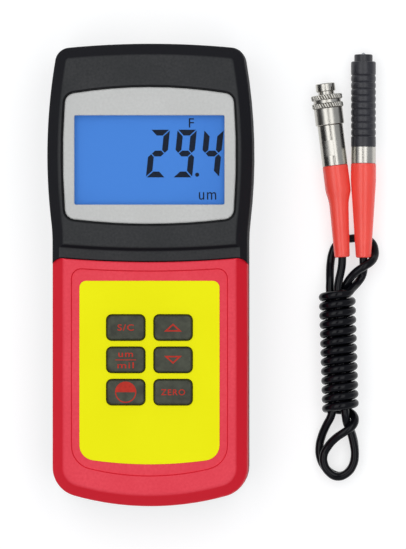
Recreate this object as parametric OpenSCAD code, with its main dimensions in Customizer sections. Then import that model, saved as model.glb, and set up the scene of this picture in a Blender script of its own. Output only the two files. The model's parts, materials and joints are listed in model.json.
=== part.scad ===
// Coating thickness gauge: a handset with a display and six keys, and its pen probe on a
// lead that ends in a plug. Millimetres.
// The handset lies on its back: X across, Y towards the head, Z out of the face, with the
// origin at the middle of the back. Probe, plug and wrapped lead lie beside it on the table.

/* [Case] */
// overall length of the handset
case_len = 161; // [156:0.5:170]
// width across the keypad grip
grip_w = 68.2; // [67:0.2:70]
// how much wider the display head is than the grip
head_flare = 3.6; // [3:0.1:8]
// overall thickness
case_t = 32; // [31.5:0.5:36]
// depth of the rear moulding
rear_t = 18; // [17.6:0.2:19]
// wall of the mouldings
wall = 2; // [1.7:0.1:2.4]
// radius of the crowned top end
crown_r = 300; // [220:10:400]
// radius of the bowed sides of the head
cheek_r = 197; // [180:1:230]
// radius of the hollow where the sides run into the grip
waist_r = 60; // [30:5:90]
// radius of the heel
heel_r = 98; // [88:1:120]
// corner radius at the head
head_corner_r = 5.4; // [5.1:0.1:7]
// corner radius at the heel
heel_corner_r = 10.5; // [9:0.5:13]
// radius round the back
back_r = 3.5; // [2.5:0.25:4]
// width of the bevel round the face
bevel_w = 4.3; // [3.6:0.1:4.7]
// height of the bevel round the face
bevel_h = 5; // [4:0.25:6]
// from the top end to the widest place of the head
cheek_drop = 38.9; // [37:0.5:42]
// from the top end to the seam above the keypad
head_len = 76; // [75:0.5:79]
// radius of the hollow seam
seam_r = 350; // [280:10:500]
// width of the valley above the seam
valley_w = 5; // [4.5:0.1:6]
// depth of the valley below the head's face
valley_d = 2; // [1.4:0.1:2.4]

/* [Display] */
// width of the grey bezel
bezel_w = 60; // [58.5:0.5:60.5]
// height of the grey bezel
bezel_h = 47.4; // [45:0.2:49]
// thickness of the bezel
bezel_t = 1.7; // [1.4:0.1:2]
// from the top end to the bezel
bezel_drop = 15.4; // [14.5:0.2:17]
// gap round the bezel
bezel_gap = 0.5; // [0.3:0.05:0.7]
// width of the display window
window_w = 52; // [48:0.5:53]
// height of the display window
window_h = 30.9; // [28:0.5:32]
// how far the window sits below the bezel's middle
window_low = 1.55; // [0:0.05:2]
// thickness of the clear lens
lens_t = 1; // [0.8:0.1:1.2]
// thickness of the liquid crystal glass
lcd_t = 2.6; // [2.2:0.1:3]
// thickness of the backlight
backlight_t = 3.4; // [2.6:0.1:4]

/* [Keypad] */
// how far the red cover lies below the head's face
cover_drop = 1; // [0.6:0.1:1.4]
// depth of the panel sunk in the cover
recess_d = 0.6; // [0.4:0.05:0.8]
// flat border between the bevel and the sunk panel
land_w = 2.9; // [2.4:0.1:3.4]
// thickness of the keypad label
label_t = 0.3; // [0.2:0.05:0.4]
// border of the sunk panel round the label
label_gap = 2.6; // [2:0.1:3.2]
// width of a key
key_w = 13.7; // [12.5:0.1:14.3]
// height of a key
key_h = 9.2; // [8:0.1:9.5]
// corner radius of a key
key_r = 1.7; // [1:0.1:2.2]
// spacing of the key columns
key_dx = 16.4; // [16:0.1:18]
// spacing of the key rows
key_dy = 11.2; // [11:0.1:12.5]
// from the label's top edge to the middle row
keys_drop = 27.4; // [25:0.2:31]
// how far a key stands above the label
key_proud = 1.1; // [0.8:0.1:1.3]
// travel of a key
key_travel = 0.8; // [0.5:0.1:0.8]
// clearance round a key
key_clear = 0.25; // [0.2:0.05:0.4]

/* [Battery] */
// diameter of a cell
cell_d = 10.4; // [10:0.1:10.5]
// length of a cell with its button
cell_len = 44.4; // [43.5:0.1:44.6]
// thickness of the battery door
door_t = 1.8; // [1.5:0.1:2]
// clearance round the battery door
door_clear = 0.2; // [0.15:0.05:0.3]

/* [Probe socket] */
// height of the socket's axis above the back
socket_z = 9.5; // [9:0.1:10]
// clearance of a plug's nose in the socket
nose_clear = 0.15; // [0.1:0.05:0.3]

/* [Probe] */
// diameter of the ribbed grip
grip_d = 8.7; // [8.4:0.1:9.4]
// length of the ribbed grip
grip_len = 29.8; // [28:0.2:32]
// length of the steel ferrule
ferrule_len = 5.9; // [5:0.1:7]
// length of the red boot behind the ferrule
boot_len = 32.9; // [31:0.1:34]
// diameter of the boot where the lead leaves it
boot_tail_d = 5.4; // [5:0.1:5.6]
// diameter of the spring-loaded sensor sleeve
sensor_d = 6.4; // [6:0.1:6.6]
// how far the sleeve stands out of the grip
sensor_proud = 2.5; // [2.3:0.1:3]
// travel of the sleeve into the grip
sensor_travel = 2; // [1.5:0.1:2.2]
// radial clearance of the sleeve in the grip
sensor_clear = 0.04; // [0.02:0.01:0.05]

/* [Plug] */
// diameter of the plug's nose
nose_d = 6.8; // [6.4:0.1:7]
// length of the plug's nose
nose_len = 2.8; // [2.4:0.1:3.2]
// diameter across the knurls of the coupling ring
knurl_d = 10.9; // [10.5:0.1:11.2]
// length of the coupling ring
ring_len = 10.55; // [10:0.05:11]
// diameter of the plug's sleeve
sleeve_d = 8.9; // [8.6:0.1:9]
// length of the plug's sleeve
sleeve_len = 14.3; // [13:0.1:15]
// radial clearance of the coupling ring on its spindle
ring_clear = 0.05; // [0.03:0.01:0.08]

/* [Lead] */
// diameter of the lead
cord_d = 2.9; // [2.7:0.05:2.9]
// diameter over the wrapped turns
wrap_d = 13; // [12.6:0.1:13]
// length of the wrapped turns
wrap_len = 44; // [43:0.5:44]

/* [Hidden] */
$fn = 48;
eps = 0.01;
far = 400;
straight = 20000;
top_y = case_len / 2;
heel_y = -case_len / 2;
head_w = grip_w + head_flare;
draft = 0.3;
lip = 0.35;

// circle centres and joining angles of the case outline, right half
function unit(v) = v / norm(v);
function angle(v) = atan2(v[1], v[0]);
function meet(c0, r0, c1, r1) =
    let (v = c1 - c0, d = norm(v), a = (r0 * r0 - r1 * r1 + d * d) / (2 * d),
         h = sqrt(r0 * r0 - a * a), p = c0 + v * a / d, n = [-v[1], v[0]] * h / d)
    (p + n)[0] > (p - n)[0] ? p + n : p - n;
function arc(c, r, a0, a1, n, first = 0) =
    [for (i = [first:n]) let (a = a0 + (a1 - a0) * i / n) c + r * [cos(a), sin(a)]];

crown_c = [0, top_y - crown_r];
cheek_y = top_y - cheek_drop;
cheek_c = [head_w / 2 - cheek_r, cheek_y];
head_corner_c = meet(crown_c, crown_r - head_corner_r, cheek_c, cheek_r - head_corner_r);
waist_x = grip_w / 2 + waist_r;
waist_c = [waist_x, cheek_y - sqrt(pow(cheek_r + waist_r, 2) - pow(waist_x - cheek_c[0], 2))];
heel_c = [0, heel_y + heel_r];
heel_corner_x = grip_w / 2 - heel_corner_r;
heel_corner_c = [heel_corner_x,
    heel_c[1] - sqrt(pow(heel_r - heel_corner_r, 2) - heel_corner_x * heel_corner_x)];
crown_a = angle(head_corner_c - crown_c);
cheek_a0 = angle(head_corner_c - cheek_c);
cheek_a1 = angle(waist_c - cheek_c);
heel_a = angle(heel_corner_c - heel_c);

// the whole outline, clockwise from the top, set in by d
function both_sides(half) =
    concat(half, [for (i = [len(half) - 2:-1:1]) [-half[i][0], half[i][1]]]);
function case_outline(d) = both_sides(concat(
    arc(crown_c, crown_r - d, 90, crown_a, 4),
    arc(head_corner_c, head_corner_r - d, crown_a, cheek_a0, 6, 1),
    arc(cheek_c, cheek_r - d, cheek_a0, cheek_a1, 8, 1),
    arc(waist_c, waist_r + d, 180 + cheek_a1, 180, 2, 1),
    arc(heel_corner_c, heel_corner_r - d, 0, heel_a, 7),
    arc(heel_c, heel_r - d, heel_a, -90, 6, 1)));

// a rounded panel between y0 and y1 whose edges are arcs; a negative radius bows inwards
function panel(w, y1, y0, top_r, side_r, low_r, rc1, rc0, d = 0) =
    let (ct = [0, y1 - top_r], cs = [w / 2 - side_r, (y1 + y0) / 2], cb = [0, y0 + low_r],
         f1 = meet(ct, abs(top_r - rc1), cs, side_r - rc1),
         f0 = meet(cb, low_r - rc0, cs, side_r - rc0),
         at = angle(f1 - ct), a1 = angle(f1 - cs), a0 = angle(f0 - cs), ab = angle(f0 - cb))
    both_sides(concat(
        arc(ct, abs(top_r - d), top_r > 0 ? 90 : -90, at, 4),
        arc(f1, rc1 - d, top_r > 0 ? at : at + 180, a1, 4, 1),
        arc(cs, side_r - d, a1, a0, 3, 1),
        arc(f0, rc0 - d, a0, ab, 4, 1),
        arc(cb, low_r - d, ab, -90, 4, 1)));

// edge of the valley above the seam, set off by d
function valley_outline(d) = panel(grip_w + 16, top_y - head_len, heel_y - 8, -seam_r, straight, straight, 4, 4, -d);

// heights through the case
cover_z = case_t - cover_drop;
panel_z = cover_z - recess_d;
roof_z = min(case_t - bezel_t - lens_t - 1.3, panel_z - wall);
board_z = rear_t - 1;
board_t = 1.6;
board_top = board_z + board_t;

// seam and keypad
seam_y = top_y - head_len;
seam_gap = 0.15;
panel_w = grip_w - 2 * (bevel_w + land_w);
panel_y1 = seam_y - 3.3;
panel_y0 = heel_y + bevel_w + 6.7;
label_y1 = panel_y1 - label_gap - 0.6;
label_y0 = panel_y0 + label_gap + 1.3;
keys_y = label_y1 - keys_drop;
key_top = panel_z + label_t + key_proud;
key_foot = board_top + 2.3;
mat_t = 1.2;

// display
bezel_y1 = top_y - bezel_drop;
bezel_y0 = bezel_y1 - bezel_h;
bezel_top = case_t - 0.1;
window_y = (bezel_y1 + bezel_y0) / 2 - window_low;
lens_z = bezel_top - bezel_t - lens_t;
lcd_w = window_w + 3.2;
lcd_h = window_h + 3.2;
lens_w = lcd_w + 2;
lens_h = lcd_h + 2;
lcd_z = lens_z - 0.2 - lcd_t;
light_z = lcd_z - backlight_t;
tray_wall = 1.3;

// battery bay
cell_n = 4;
spring_room = 5.2;
plate_t = 0.4;
cell_gap = 0.4;
bay_w = cell_n * cell_d + (cell_n + 1) * cell_gap;
bay_len = spring_room + cell_len + plate_t;
bay_y0 = heel_y + 16.5;
bay_y1 = bay_y0 + bay_len;
door_z = 0.2;
door_w = bay_w + 3;
door_y1 = bay_y1 + 2;
tongue_w = 0.9;
tongue_t = 0.7;
tongue_y0 = heel_y + 14;
tongue_y1 = door_y1 - 4;
plate_w = cell_d - 2.4;
spring_r = cell_d / 2 - 2.2;
cell_z = door_z + door_t + 0.4 + cell_d / 2;
bay_top = cell_z + cell_d / 2 + 0.3;
bay_roof = 1.6;

// screws and bosses, in proportion to the wall
screw_r = 0.7 * wall;
screw_head_r = 1.2 * wall;
boss_r = 1.8 * wall;
post_r = 1.2 * wall;
post_screw_r = 0.5 * wall;
screw_x = grip_w / 2 - 6.5;
head_screw_y = top_y - 14.5;
heel_screw_y = heel_y + 22.5;
screw_seat = 1.5 * wall;
screw_len = rear_t + 3;
board_w = 2 * (screw_x - boss_r - 0.5);
board_head_w = lcd_w + 2 * tray_wall + 1;
board_y1 = head_screw_y - boss_r - 0.9;
board_neck_y = window_y - lcd_h / 2 - 8;
board_y0 = heel_y + 13;
post_x = board_w / 2 - 3;
post_head_y = window_y - lcd_h / 2 - 4.6;
post_heel_y = bay_y0 + 3;

// probe socket, measured inwards from its mouth
nose_r = nose_d / 2;
socket_y = top_y - 0.6;
socket_flange = 1;
socket_r = nose_r + nose_clear;
barrel_r = socket_r + 1;
barrel_len = 12;
entry_len = 3.4;
relief_len = 0.6;
chamber_s = entry_len + relief_len;
pin_n = 4;
pin_r = 0.5;
pin_ring_r = 1.5;
insert_r = 2.9;
nut_t = barrel_r / 2;
pad_y = top_y - wall - 2.4;

// probe, measured from the tail of its boot along its axis
probe_pitch = 1.6;
probe_x = 74;
probe_y = 6;
ferrule_s = boot_len;
grip_s = ferrule_s + ferrule_len;
grip_end = grip_s + grip_len;
probe_z = grip_d / 2 + 0.03 + grip_end * sin(probe_pitch);
sensor_r = sensor_d / 2;
core_r = grip_d / 2 - 0.45;
sensor_end = grip_end + sensor_proud;
sensor_foot = grip_end - 9;
spring_seat = sensor_foot - 8.5;
tip_r = 0.7;

// plug, measured from the joint of its sleeve and boot along its axis
plug_yaw = 7;
plug_pitch = 0.6;
tail_yaw = 3.5;
plug_x = 64.1;
plug_y = 38.2;
boot_skirt = 8.7;
ring_s = sleeve_len + 0.1;
ring_end = ring_s + ring_len;
neck_len = 1.1;
nose_s = ring_end + 0.1 + neck_len;
plug_end = nose_s + nose_len;
spindle_r = nose_r - 0.25;
knurl_r = knurl_d / 2;
plug_z = knurl_r + 0.03 + (ring_end - 2) * sin(plug_pitch);
tail_len = 23.42;

// the lead's route, chosen by eye from the photograph
wrap_c = [65.4, -27, wrap_d / 2];
wrap_yaw = 1.7;
wrap_dir = [-sin(wrap_yaw), cos(wrap_yaw), 0];
wrap_side = [cos(wrap_yaw), sin(wrap_yaw), 0];
function wrap_top(u, w) = wrap_c + wrap_dir * wrap_len / 2 + wrap_side * u + [0, 0, w];
function wrap_low(u, w) = wrap_c - wrap_dir * wrap_len / 2 + wrap_side * u + [0, 0, w];
probe_dir = [0, cos(probe_pitch), -sin(probe_pitch)];
tail_dir = [-sin(tail_yaw) * cos(plug_pitch), cos(tail_yaw) * cos(plug_pitch), -sin(plug_pitch)];
plug_dir = [-sin(plug_yaw) * cos(plug_pitch), cos(plug_yaw) * cos(plug_pitch), -sin(plug_pitch)];
tail_end = [plug_x, plug_y, plug_z] - boot_skirt * plug_dir - tail_len * tail_dir;

probe_lead_route = [[probe_x, probe_y, probe_z], [74, 4.4, 5], [73.9, 2.8, 3.4], [73.6, 1.2, 2.5],
    [73.3, -0.4, 2.5], [72.9, -1.95, 3], [72.3, -2.85, 3.9], [71.4, -3.45, 6.7], wrap_top(3.9, 3.3)];
plug_lead_route = [tail_end, [66.5, 3.6, 6.3], [66.1, 1, 6.8], [65.5, -1.6, 7.6], wrap_top(0.3, 2)];
top_loop_route = [wrap_top(-2.5, -0.9), [62.3, -2.2, 5], [62.3, 1.2, 3.6], [62.5, 4.4, 2.2],
    [63.1, 7.6, 1.5], [64.4, 10.4, 1.45], [66.8, 12.2, 1.45], [70.1, 12.8, 1.45], [73.4, 12.8, 1.45],
    [76, 11.7, 1.6], [77.6, 9.5, 2.4], [78.1, 7, 3.5], [77.6, 4.4, 4.9], [75.9, 2.3, 6.4],
    [73.7, 0.9, 6.9], [71.1, -0.2, 6.5], [68.8, -1.55, 5.9], wrap_top(2.7, -1)];
front_loop_route = [wrap_low(4.9, 1), [71.6, -50.8, 7.8], [70.3, -53, 8.3], [67.4, -54.8, 8.1],
    [64.4, -56.9, 6.8], [61.6, -60, 5.2], [60.1, -63, 4.5], [60.2, -66, 4.5], [61.8, -68.8, 4.5],
    [64.7, -70.5, 4.5], [68.1, -69.4, 4.5], [70.4, -66.3, 4.5], [71, -62.6, 4.5], [70.5, -58.6, 4.6],
    [69.5, -54.8, 4.9], [68.2, -51.6, 6], wrap_low(1.7, 0.4)];
back_loop_route = [wrap_low(-3.3, -1), [60.9, -52.8, 4.2], [59.4, -56.4, 2.4], [58.6, -60, 1.5],
    [58.8, -63.6, 1.45], [60.3, -67, 1.45], [63, -69.5, 1.45], [66.4, -70.2, 1.45], [69.4, -68, 1.45],
    [70.8, -64.4, 1.45], [70.9, -60.4, 1.45], [70.2, -56.4, 1.5], [68.8, -52.6, 2], wrap_low(1.6, -3.2)];

// building blocks

// solid through rings of equal length, lowest first, each clockwise seen from above
module loft(rings) {
    n = len(rings[0]);
    m = len(rings);
    polyhedron([for (r = rings) each r], concat(
        [[for (i = [n - 1:-1:0]) i]],
        [for (k = [0:m - 2], i = [0:n - 1]) let (j = (i + 1) % n)
            [k * n + i, k * n + j, (k + 1) * n + j, (k + 1) * n + i]],
        [[for (i = [0:n - 1]) (m - 1) * n + i]]));
}

// case-shaped solid from levels of height and inset
module case_body(levels)
    loft([for (l = levels) [for (p = case_outline(l[1])) [p[0], p[1], l[0]]]]);

// tube of n sides along a route, its end faces square to the two end directions
module tube(route, d, from, to, n = 8) {
    m = len(route);
    dirs = [for (i = [0:m - 1]) i == 0 ? unit(from) : i == m - 1 ? unit(to)
        : unit(unit(route[i] - route[i - 1]) + unit(route[i + 1] - route[i]))];
    pts = [for (i = [0:m - 1]) let (t = dirs[i], s = unit(cross(t, abs(t[2]) > 0.9 ? [0, 1, 0] : [0, 0, 1])),
        u = cross(s, t)) each [for (k = [0:n - 1]) route[i] + d / 2 * (cos(360 * k / n) * s + sin(360 * k / n) * u)]];
    polyhedron(pts, concat(
        [[for (k = [n - 1:-1:0]) k]],
        [for (i = [0:m - 2], k = [0:n - 1], h = [0, 1]) let (j = (k + 1) % n)
            h == 0 ? [i * n + k, i * n + j, (i + 1) * n + j] : [i * n + k, (i + 1) * n + j, (i + 1) * n + k]],
        [[for (k = [0:n - 1]) (m - 1) * n + k]]));
}

// coil spring along Z from 0 to h
module coil(r, wire, h, turns, n = 6, steps = 10) {
    rise = (h - wire) / turns;
    tube([for (i = [0:turns * steps]) let (a = 360 * i / steps)
        [r * cos(a), r * sin(a), wire / 2 + rise * i / steps]], wire, [0, 1, 0.05], [0, 1, 0.05], n);
}

module rounded(w, h, r) {
    square([w - 2 * r, h], center = true);
    square([w, h - 2 * r], center = true);
    for (x = [-1, 1], y = [-1, 1]) translate([x * (w / 2 - r), y * (h / 2 - r)]) circle(r);
}

module slab(z0, z1) translate([0, 0, z0]) linear_extrude(z1 - z0) children();

module at_keys() for (c = [-1, 1], r = [-1, 0, 1]) translate([c * key_dx / 2, keys_y + r * key_dy]) children();

module in_probe() translate([probe_x, probe_y, probe_z]) rotate([-90 - probe_pitch, 0, 0]) children();

module in_plug() translate([plug_x, plug_y, plug_z]) rotate([0, 0, plug_yaw]) rotate([-90 - plug_pitch, 0, 0]) children();

module in_socket() translate([0, socket_y, socket_z]) rotate([90, 0, 0]) children();

module seam_region(grow = 0)
    polygon(panel(grip_w + 0.8, seam_y, heel_y - 8, -seam_r, straight, straight, 4, 4, -grow));

module sunk_panel() polygon(panel(panel_w, panel_y1, panel_y0, -seam_r, straight, heel_r - 11, 3.2, 8, 0));

module label_outline() polygon(panel(panel_w - 2 * label_gap, label_y1, label_y0, straight, straight, 140, 2.3, 5.3, 0));

module bezel_outline(grow = 0)
    polygon(panel(bezel_w, bezel_y1, bezel_y0, 167, 250, 219, 3.5, 3.5, -grow));

module at_screws() for (x = [-1, 1], y = [head_screw_y, heel_screw_y]) translate([x * screw_x, y]) children();

module at_posts() for (x = [-1, 1], y = [post_head_y, post_heel_y]) translate([x * post_x, y]) children();

// hollow of the two front mouldings
module front_hollow() case_body([[rear_t - 1, wall + lip], [roof_z - bevel_h + 1.2, wall + draft],
    [roof_z, min(bevel_w + 0.5, head_corner_r - 0.3)]]);

// handset mouldings

// black head of the front, with the display opening and the valley above the keypad
module front_case() color("#2b2c30") {
    difference() {
        case_body([[rear_t, lip], [rear_t + 0.5, 0], [case_t - bevel_h, draft], [case_t, bevel_w]]);
        front_hollow();
        slab(rear_t - 2, case_t + 2) seam_region(seam_gap);
        loft([for (l = [[case_t - valley_d, valley_w - 1.3], [case_t + valley_d, valley_w + 1.3]])
            [for (p = valley_outline(l[1])) [p[0], p[1], l[0]]]]);
        slab(bezel_top - bezel_t, case_t + 1) bezel_outline(bezel_gap);
        translate([0, window_y]) slab(lens_z, case_t + 1) square([lens_w + 0.4, lens_h + 0.4], center = true);
        translate([0, window_y]) slab(roof_z - 1, case_t + 1) square([lcd_w + 0.5, lcd_h + 0.5], center = true);
    }
    for (x = [-1, 1]) translate([x * screw_x, head_screw_y]) screw_tube();
}

// blind tube under the front that takes a case screw
module screw_tube() slab(rear_t, roof_z + 0.3) difference() {
    circle(boss_r - 0.4);
    circle(screw_r + 0.05);
}

// red lower front, sunk for the label and pierced for the keys
module grip_cover() color("#d93543") {
    difference() {
        intersection() {
            case_body([[rear_t, lip], [rear_t + 0.5, 0], [cover_z - bevel_h, draft], [cover_z, bevel_w]]);
            slab(rear_t - 2, case_t + 2) seam_region();
        }
        front_hollow();
        slab(panel_z, case_t) sunk_panel();
        slab(roof_z - 1, case_t) at_keys() rounded(key_w + 2 * key_clear, key_h + 2 * key_clear, key_r + key_clear);
    }
    for (x = [-1, 1]) translate([x * screw_x, heel_screw_y]) screw_tube();
}

// black rear shell with the battery bay, screw bosses, board posts and socket pad
module rear_case() color("#232428") difference() {
    union() {
        difference() {
            case_body(concat([for (a = [0:22.5:90]) [back_r * (1 - cos(a)), back_r * (1 - sin(a))]],
                [[rear_t - 0.5, 0], [rear_t, lip]]));
            case_body([[wall, wall + 1.3], [wall + 1.5, wall], [rear_t + 1, wall]]);
        }
        translate([0, (bay_y0 + bay_y1) / 2]) slab(1, bay_top + bay_roof) square([bay_w + 3, bay_len + 3], center = true);
        translate([0, (bay_y0 + heel_y + 4) / 2]) slab(1, door_z + door_t + 2)
            square([door_w + 2 * tongue_w + 3, bay_y0 - heel_y - 4], center = true);
        translate([0, (bay_y0 + door_y1) / 2]) slab(1, door_z + door_t + 2)
            square([door_w + 2 * tongue_w + 3, door_y1 - bay_y0 + 4], center = true);
        slab(1.2, rear_t) at_screws() circle(boss_r);
        slab(1, board_z) at_posts() circle(post_r);
        translate([0, pad_y, socket_z]) rotate([-90, 0, 0]) cylinder(r = barrel_r + 2.8, h = top_y - wall / 2 - pad_y);
    }
    translate([0, (bay_y0 + bay_y1) / 2]) slab(-1, bay_top) square([bay_w, bay_len], center = true);
    translate([0, (door_y1 + door_clear - far) / 2]) slab(-1, door_z + door_t + door_clear)
        square([door_w + 2 * door_clear, far + door_y1 + door_clear], center = true);
    translate([0, (door_y1 - 3 - far) / 2]) slab(door_z + door_t - tongue_t - door_clear, door_z + door_t + door_clear)
        square([door_w + 2 * tongue_w + 2 * door_clear, far + door_y1 - 3], center = true);
    slab(-1, rear_t + 1) at_screws() circle(screw_r + 0.2);
    slab(-1, screw_seat) at_screws() circle(screw_head_r + 0.3);
    slab(board_z - 5, board_z + 1) for (x = [-1, 1]) translate([x * post_x, post_head_y]) circle(post_screw_r + 0.05);
    slab(bay_top + bay_roof - 1.2, board_z + 1) for (x = [-1, 1]) translate([x * post_x, post_heel_y]) circle(post_screw_r + 0.05);
    in_socket() translate([0, 0, -3]) cylinder(r = barrel_r + 1.9, h = 3 + socket_flange);
    in_socket() translate([0, 0, -3]) cylinder(r = barrel_r + 0.1, h = 12);
}

// sliding door over the cells, cut from the curve of the back
module battery_door() color("#26272b") {
    intersection() {
        case_body(concat([for (a = [0:22.5:90]) [back_r * (1 - cos(a)), back_r * (1 - sin(a))]], [[rear_t, 0]]));
        translate([0, (door_y1 - far) / 2]) slab(door_z, door_z + door_t) square([door_w, far + door_y1], center = true);
    }
    translate([0, (tongue_y1 + tongue_y0) / 2]) slab(door_z + door_t - tongue_t, door_z + door_t)
        difference() {
            square([door_w + 2 * tongue_w, tongue_y1 - tongue_y0], center = true);
            square([door_w - 4, far], center = true);
        }
}

module case_screws() color("#8d8f94") at_screws() {
    slab(screw_seat - 1.6, screw_seat) difference() {
        circle(screw_head_r);
        square([2.6, 0.7], center = true);
        square([0.7, 2.6], center = true);
    }
    slab(screw_seat - 0.6, screw_seat + screw_len - 2) circle(screw_r);
}

// display

module display_bezel() color("#c4c4c1") slab(bezel_top - bezel_t, bezel_top) difference() {
    bezel_outline();
    translate([0, window_y]) rounded(window_w, window_h, 0.6);
}

module display_lens() color("#dfe8f0", 0.3) translate([0, window_y]) slab(lens_z, lens_z + lens_t) square([lens_w, lens_h], center = true);

module lcd_glass() color("#4883d6") translate([0, window_y]) slab(lcd_z, lcd_z + lcd_t) square([lcd_w, lcd_h], center = true);

module backlight() color("#e9eef2") translate([0, window_y]) slab(light_z, lcd_z) square([lcd_w, lcd_h - 6], center = true);

// black tray that holds glass and backlight on the board
module display_tray() color("#1c1d20") translate([0, window_y]) {
    slab(board_top, roof_z - 0.2) difference() {
        square([lcd_w + 2 * tray_wall + 0.4, lcd_h + 2 * tray_wall + 0.4], center = true);
        square([lcd_w + 0.4, lcd_h + 0.4], center = true);
    }
    slab(light_z - 1.4, light_z) square([lcd_w + 0.4 + eps, lcd_h - 7], center = true);
}

// rubber strips that join the glass to the board
module contact_strips() color("#4a4b4f") translate([0, window_y]) slab(board_top, lcd_z)
    for (y = [-1, 1]) translate([0, y * (lcd_h / 2 - 1.4)]) square([lcd_w - 4, 2], center = true);

// boards and keypad

module main_board() color("#1f6b3c") slab(board_z, board_top) difference() {
    union() {
        translate([0, (board_y1 + board_y0) / 2]) square([board_w, board_y1 - board_y0], center = true);
        translate([0, (board_y1 + board_neck_y) / 2]) square([board_head_w, board_y1 - board_neck_y], center = true);
    }
    at_posts() circle(post_screw_r + 0.2);
}

module board_screws() color("#b9bbbf") at_posts() {
    slab(board_top, board_top + 1.2 * post_screw_r) circle(1.9 * post_screw_r);
    slab(bay_top + bay_roof - 1, board_top + 0.5) circle(post_screw_r);
}

module keypad_mat() color("#2a2b27") slab(board_top, board_top + mat_t) difference() {
    translate([0, keys_y]) rounded(key_dx + key_w + 6, 2 * key_dy + key_h + 6, 2);
    at_keys() rounded(key_w - 1.4, key_h - 1.4, 1.2);
}

// thin printed label with an opening for each key
module keypad_label() color("#ece905") slab(panel_z, panel_z + label_t) difference() {
    label_outline();
    at_keys() rounded(key_w + 2 * key_clear, key_h + 2 * key_clear, key_r + key_clear);
}

// rubber key: cap through the cover, foot flange and contact pill
module key(c, r) color("#3c3d33") translate([c * key_dx / 2, keys_y + r * key_dy]) {
    slab(key_foot, key_top - 0.5) rounded(key_w, key_h, key_r);
    slab(key_top - 0.5, key_top) rounded(key_w - 0.8, key_h - 0.8, key_r - 0.4);
    slab(key_foot, key_foot + 1) rounded(key_w + 1.4, key_h + 1.4, key_r + 0.7);
    slab(board_top + key_travel + 0.2, key_foot) circle(2.4);
}

module key_scale() key(-1, 1);
module key_up() key(1, 1);
module key_units() key(-1, 0);
module key_down() key(1, 0);
module key_power() key(-1, -1);
module key_zero() key(1, -1);

// battery

module cell(i) {
    flip = i % 2;
    x = (i - (cell_n - 1) / 2) * (cell_d + cell_gap);
    color("#5a6670") translate([x, flip ? bay_y0 + plate_t + cell_len : bay_y1 - plate_t - cell_len, cell_z])
        rotate([flip ? 90 : -90, 0, 0]) {
            cylinder(d = cell_d, h = cell_len - 1);
            cylinder(r = 1.9, h = cell_len);
        }
}

module cell_1() cell(0);
module cell_2() cell(1);
module cell_3() cell(2);
module cell_4() cell(3);

module battery_plates() color("#c9cbd0") for (i = [0:cell_n - 1], y = [bay_y0 + plate_t / 2, bay_y1 - plate_t / 2])
    translate([(i - (cell_n - 1) / 2) * (cell_d + cell_gap), y, cell_z]) cube([plate_w, plate_t, plate_w], center = true);

module battery_springs() color("#d4d6da") for (i = [0:cell_n - 1])
    translate([(i - (cell_n - 1) / 2) * (cell_d + cell_gap), i % 2 ? bay_y1 - plate_t : bay_y0 + plate_t, cell_z])
        rotate([i % 2 ? 90 : -90, 0, 0]) coil(spring_r, 0.2 * spring_r, spring_room - plate_t - 0.02, 3, 5, 8);

// probe socket in the top end

module socket_shell() color("#c8cacd") in_socket() difference() {
    union() {
        cylinder(r = barrel_r + 1.5, h = socket_flange);
        cylinder(r = barrel_r, h = barrel_len);
    }
    translate([0, 0, -1]) cylinder(r = socket_r, h = 1 + chamber_s);
    translate([0, 0, entry_len]) cylinder(r = socket_r + 0.3, h = relief_len);
    translate([0, 0, entry_len]) cylinder(r = insert_r, h = barrel_len);
}

module at_pins() for (i = [0:pin_n - 1]) rotate(45 + i * 360 / pin_n) translate([pin_ring_r, 0]) children();

module socket_insert() color("#1a1a1c") in_socket() slab(chamber_s + 4.6, barrel_len) difference() {
    circle(insert_r - 0.02);
    at_pins() circle(pin_r + 0.02);
}

module socket_pins() color("#d9b85a") in_socket() slab(chamber_s + 0.6, barrel_len + 2) at_pins() circle(pin_r);

module socket_nut() color("#b4b6ba") in_socket() translate([0, 0, socket_y - pad_y]) difference() {
    cylinder(r = 1.5 * barrel_r, h = nut_t, $fn = 6);
    translate([0, 0, -1]) cylinder(r = barrel_r + 0.05, h = nut_t + 2);
}

// pen probe

module probe_boot() color("#e8453c") in_probe() difference() {
    rotate_extrude() polygon([[0, 0], [boot_tail_d / 2 - 0.3, 0], [boot_tail_d / 2, 0.4],
        [grip_d / 2 + 0.07, boot_len - 6.3], [grip_d / 2 + 0.07, boot_len], [0, boot_len]]);
    translate([0, 0, boot_len - 5]) cylinder(r = core_r - 0.45, h = 6);
}

module probe_ferrule() color("#c9cbce") in_probe() translate([0, 0, ferrule_s]) difference() {
    cylinder(d = grip_d, h = ferrule_len);
    translate([0, 0, -1]) cylinder(r = core_r + 0.02, h = ferrule_len + 2);
}

// ribbed grip; the ribs lie between round grooves
module probe_grip() color("#232327") in_probe() rotate_extrude() difference() {
    polygon([[core_r + 0.02, grip_s], [grip_d / 2, grip_s], [grip_d / 2, grip_end - 0.6], [grip_d / 2 - 0.5, grip_end],
        [sensor_r + sensor_clear, grip_end], [sensor_r + sensor_clear, grip_end - 1.4], [core_r + 0.02, grip_end - 1.4]]);
    for (i = [0:8]) translate([grip_d / 2 + 0.35, grip_s + 4.4 + i * 2.5]) circle(0.7, $fn = 24);
}

// inner tube that carries ferrule, grip and sensor
module probe_core() color("#9ea1a6") in_probe() difference() {
    union() {
        translate([0, 0, ferrule_s]) cylinder(r = core_r, h = grip_end - 1.5 - ferrule_s);
        translate([0, 0, boot_len - 4.9]) cylinder(r = core_r - 0.5, h = 6);
    }
    translate([0, 0, spring_seat]) cylinder(r = sensor_r + sensor_clear, h = 40);
    translate([0, 0, boot_len - 10]) cylinder(r = 1.5, h = 40);
}

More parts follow.
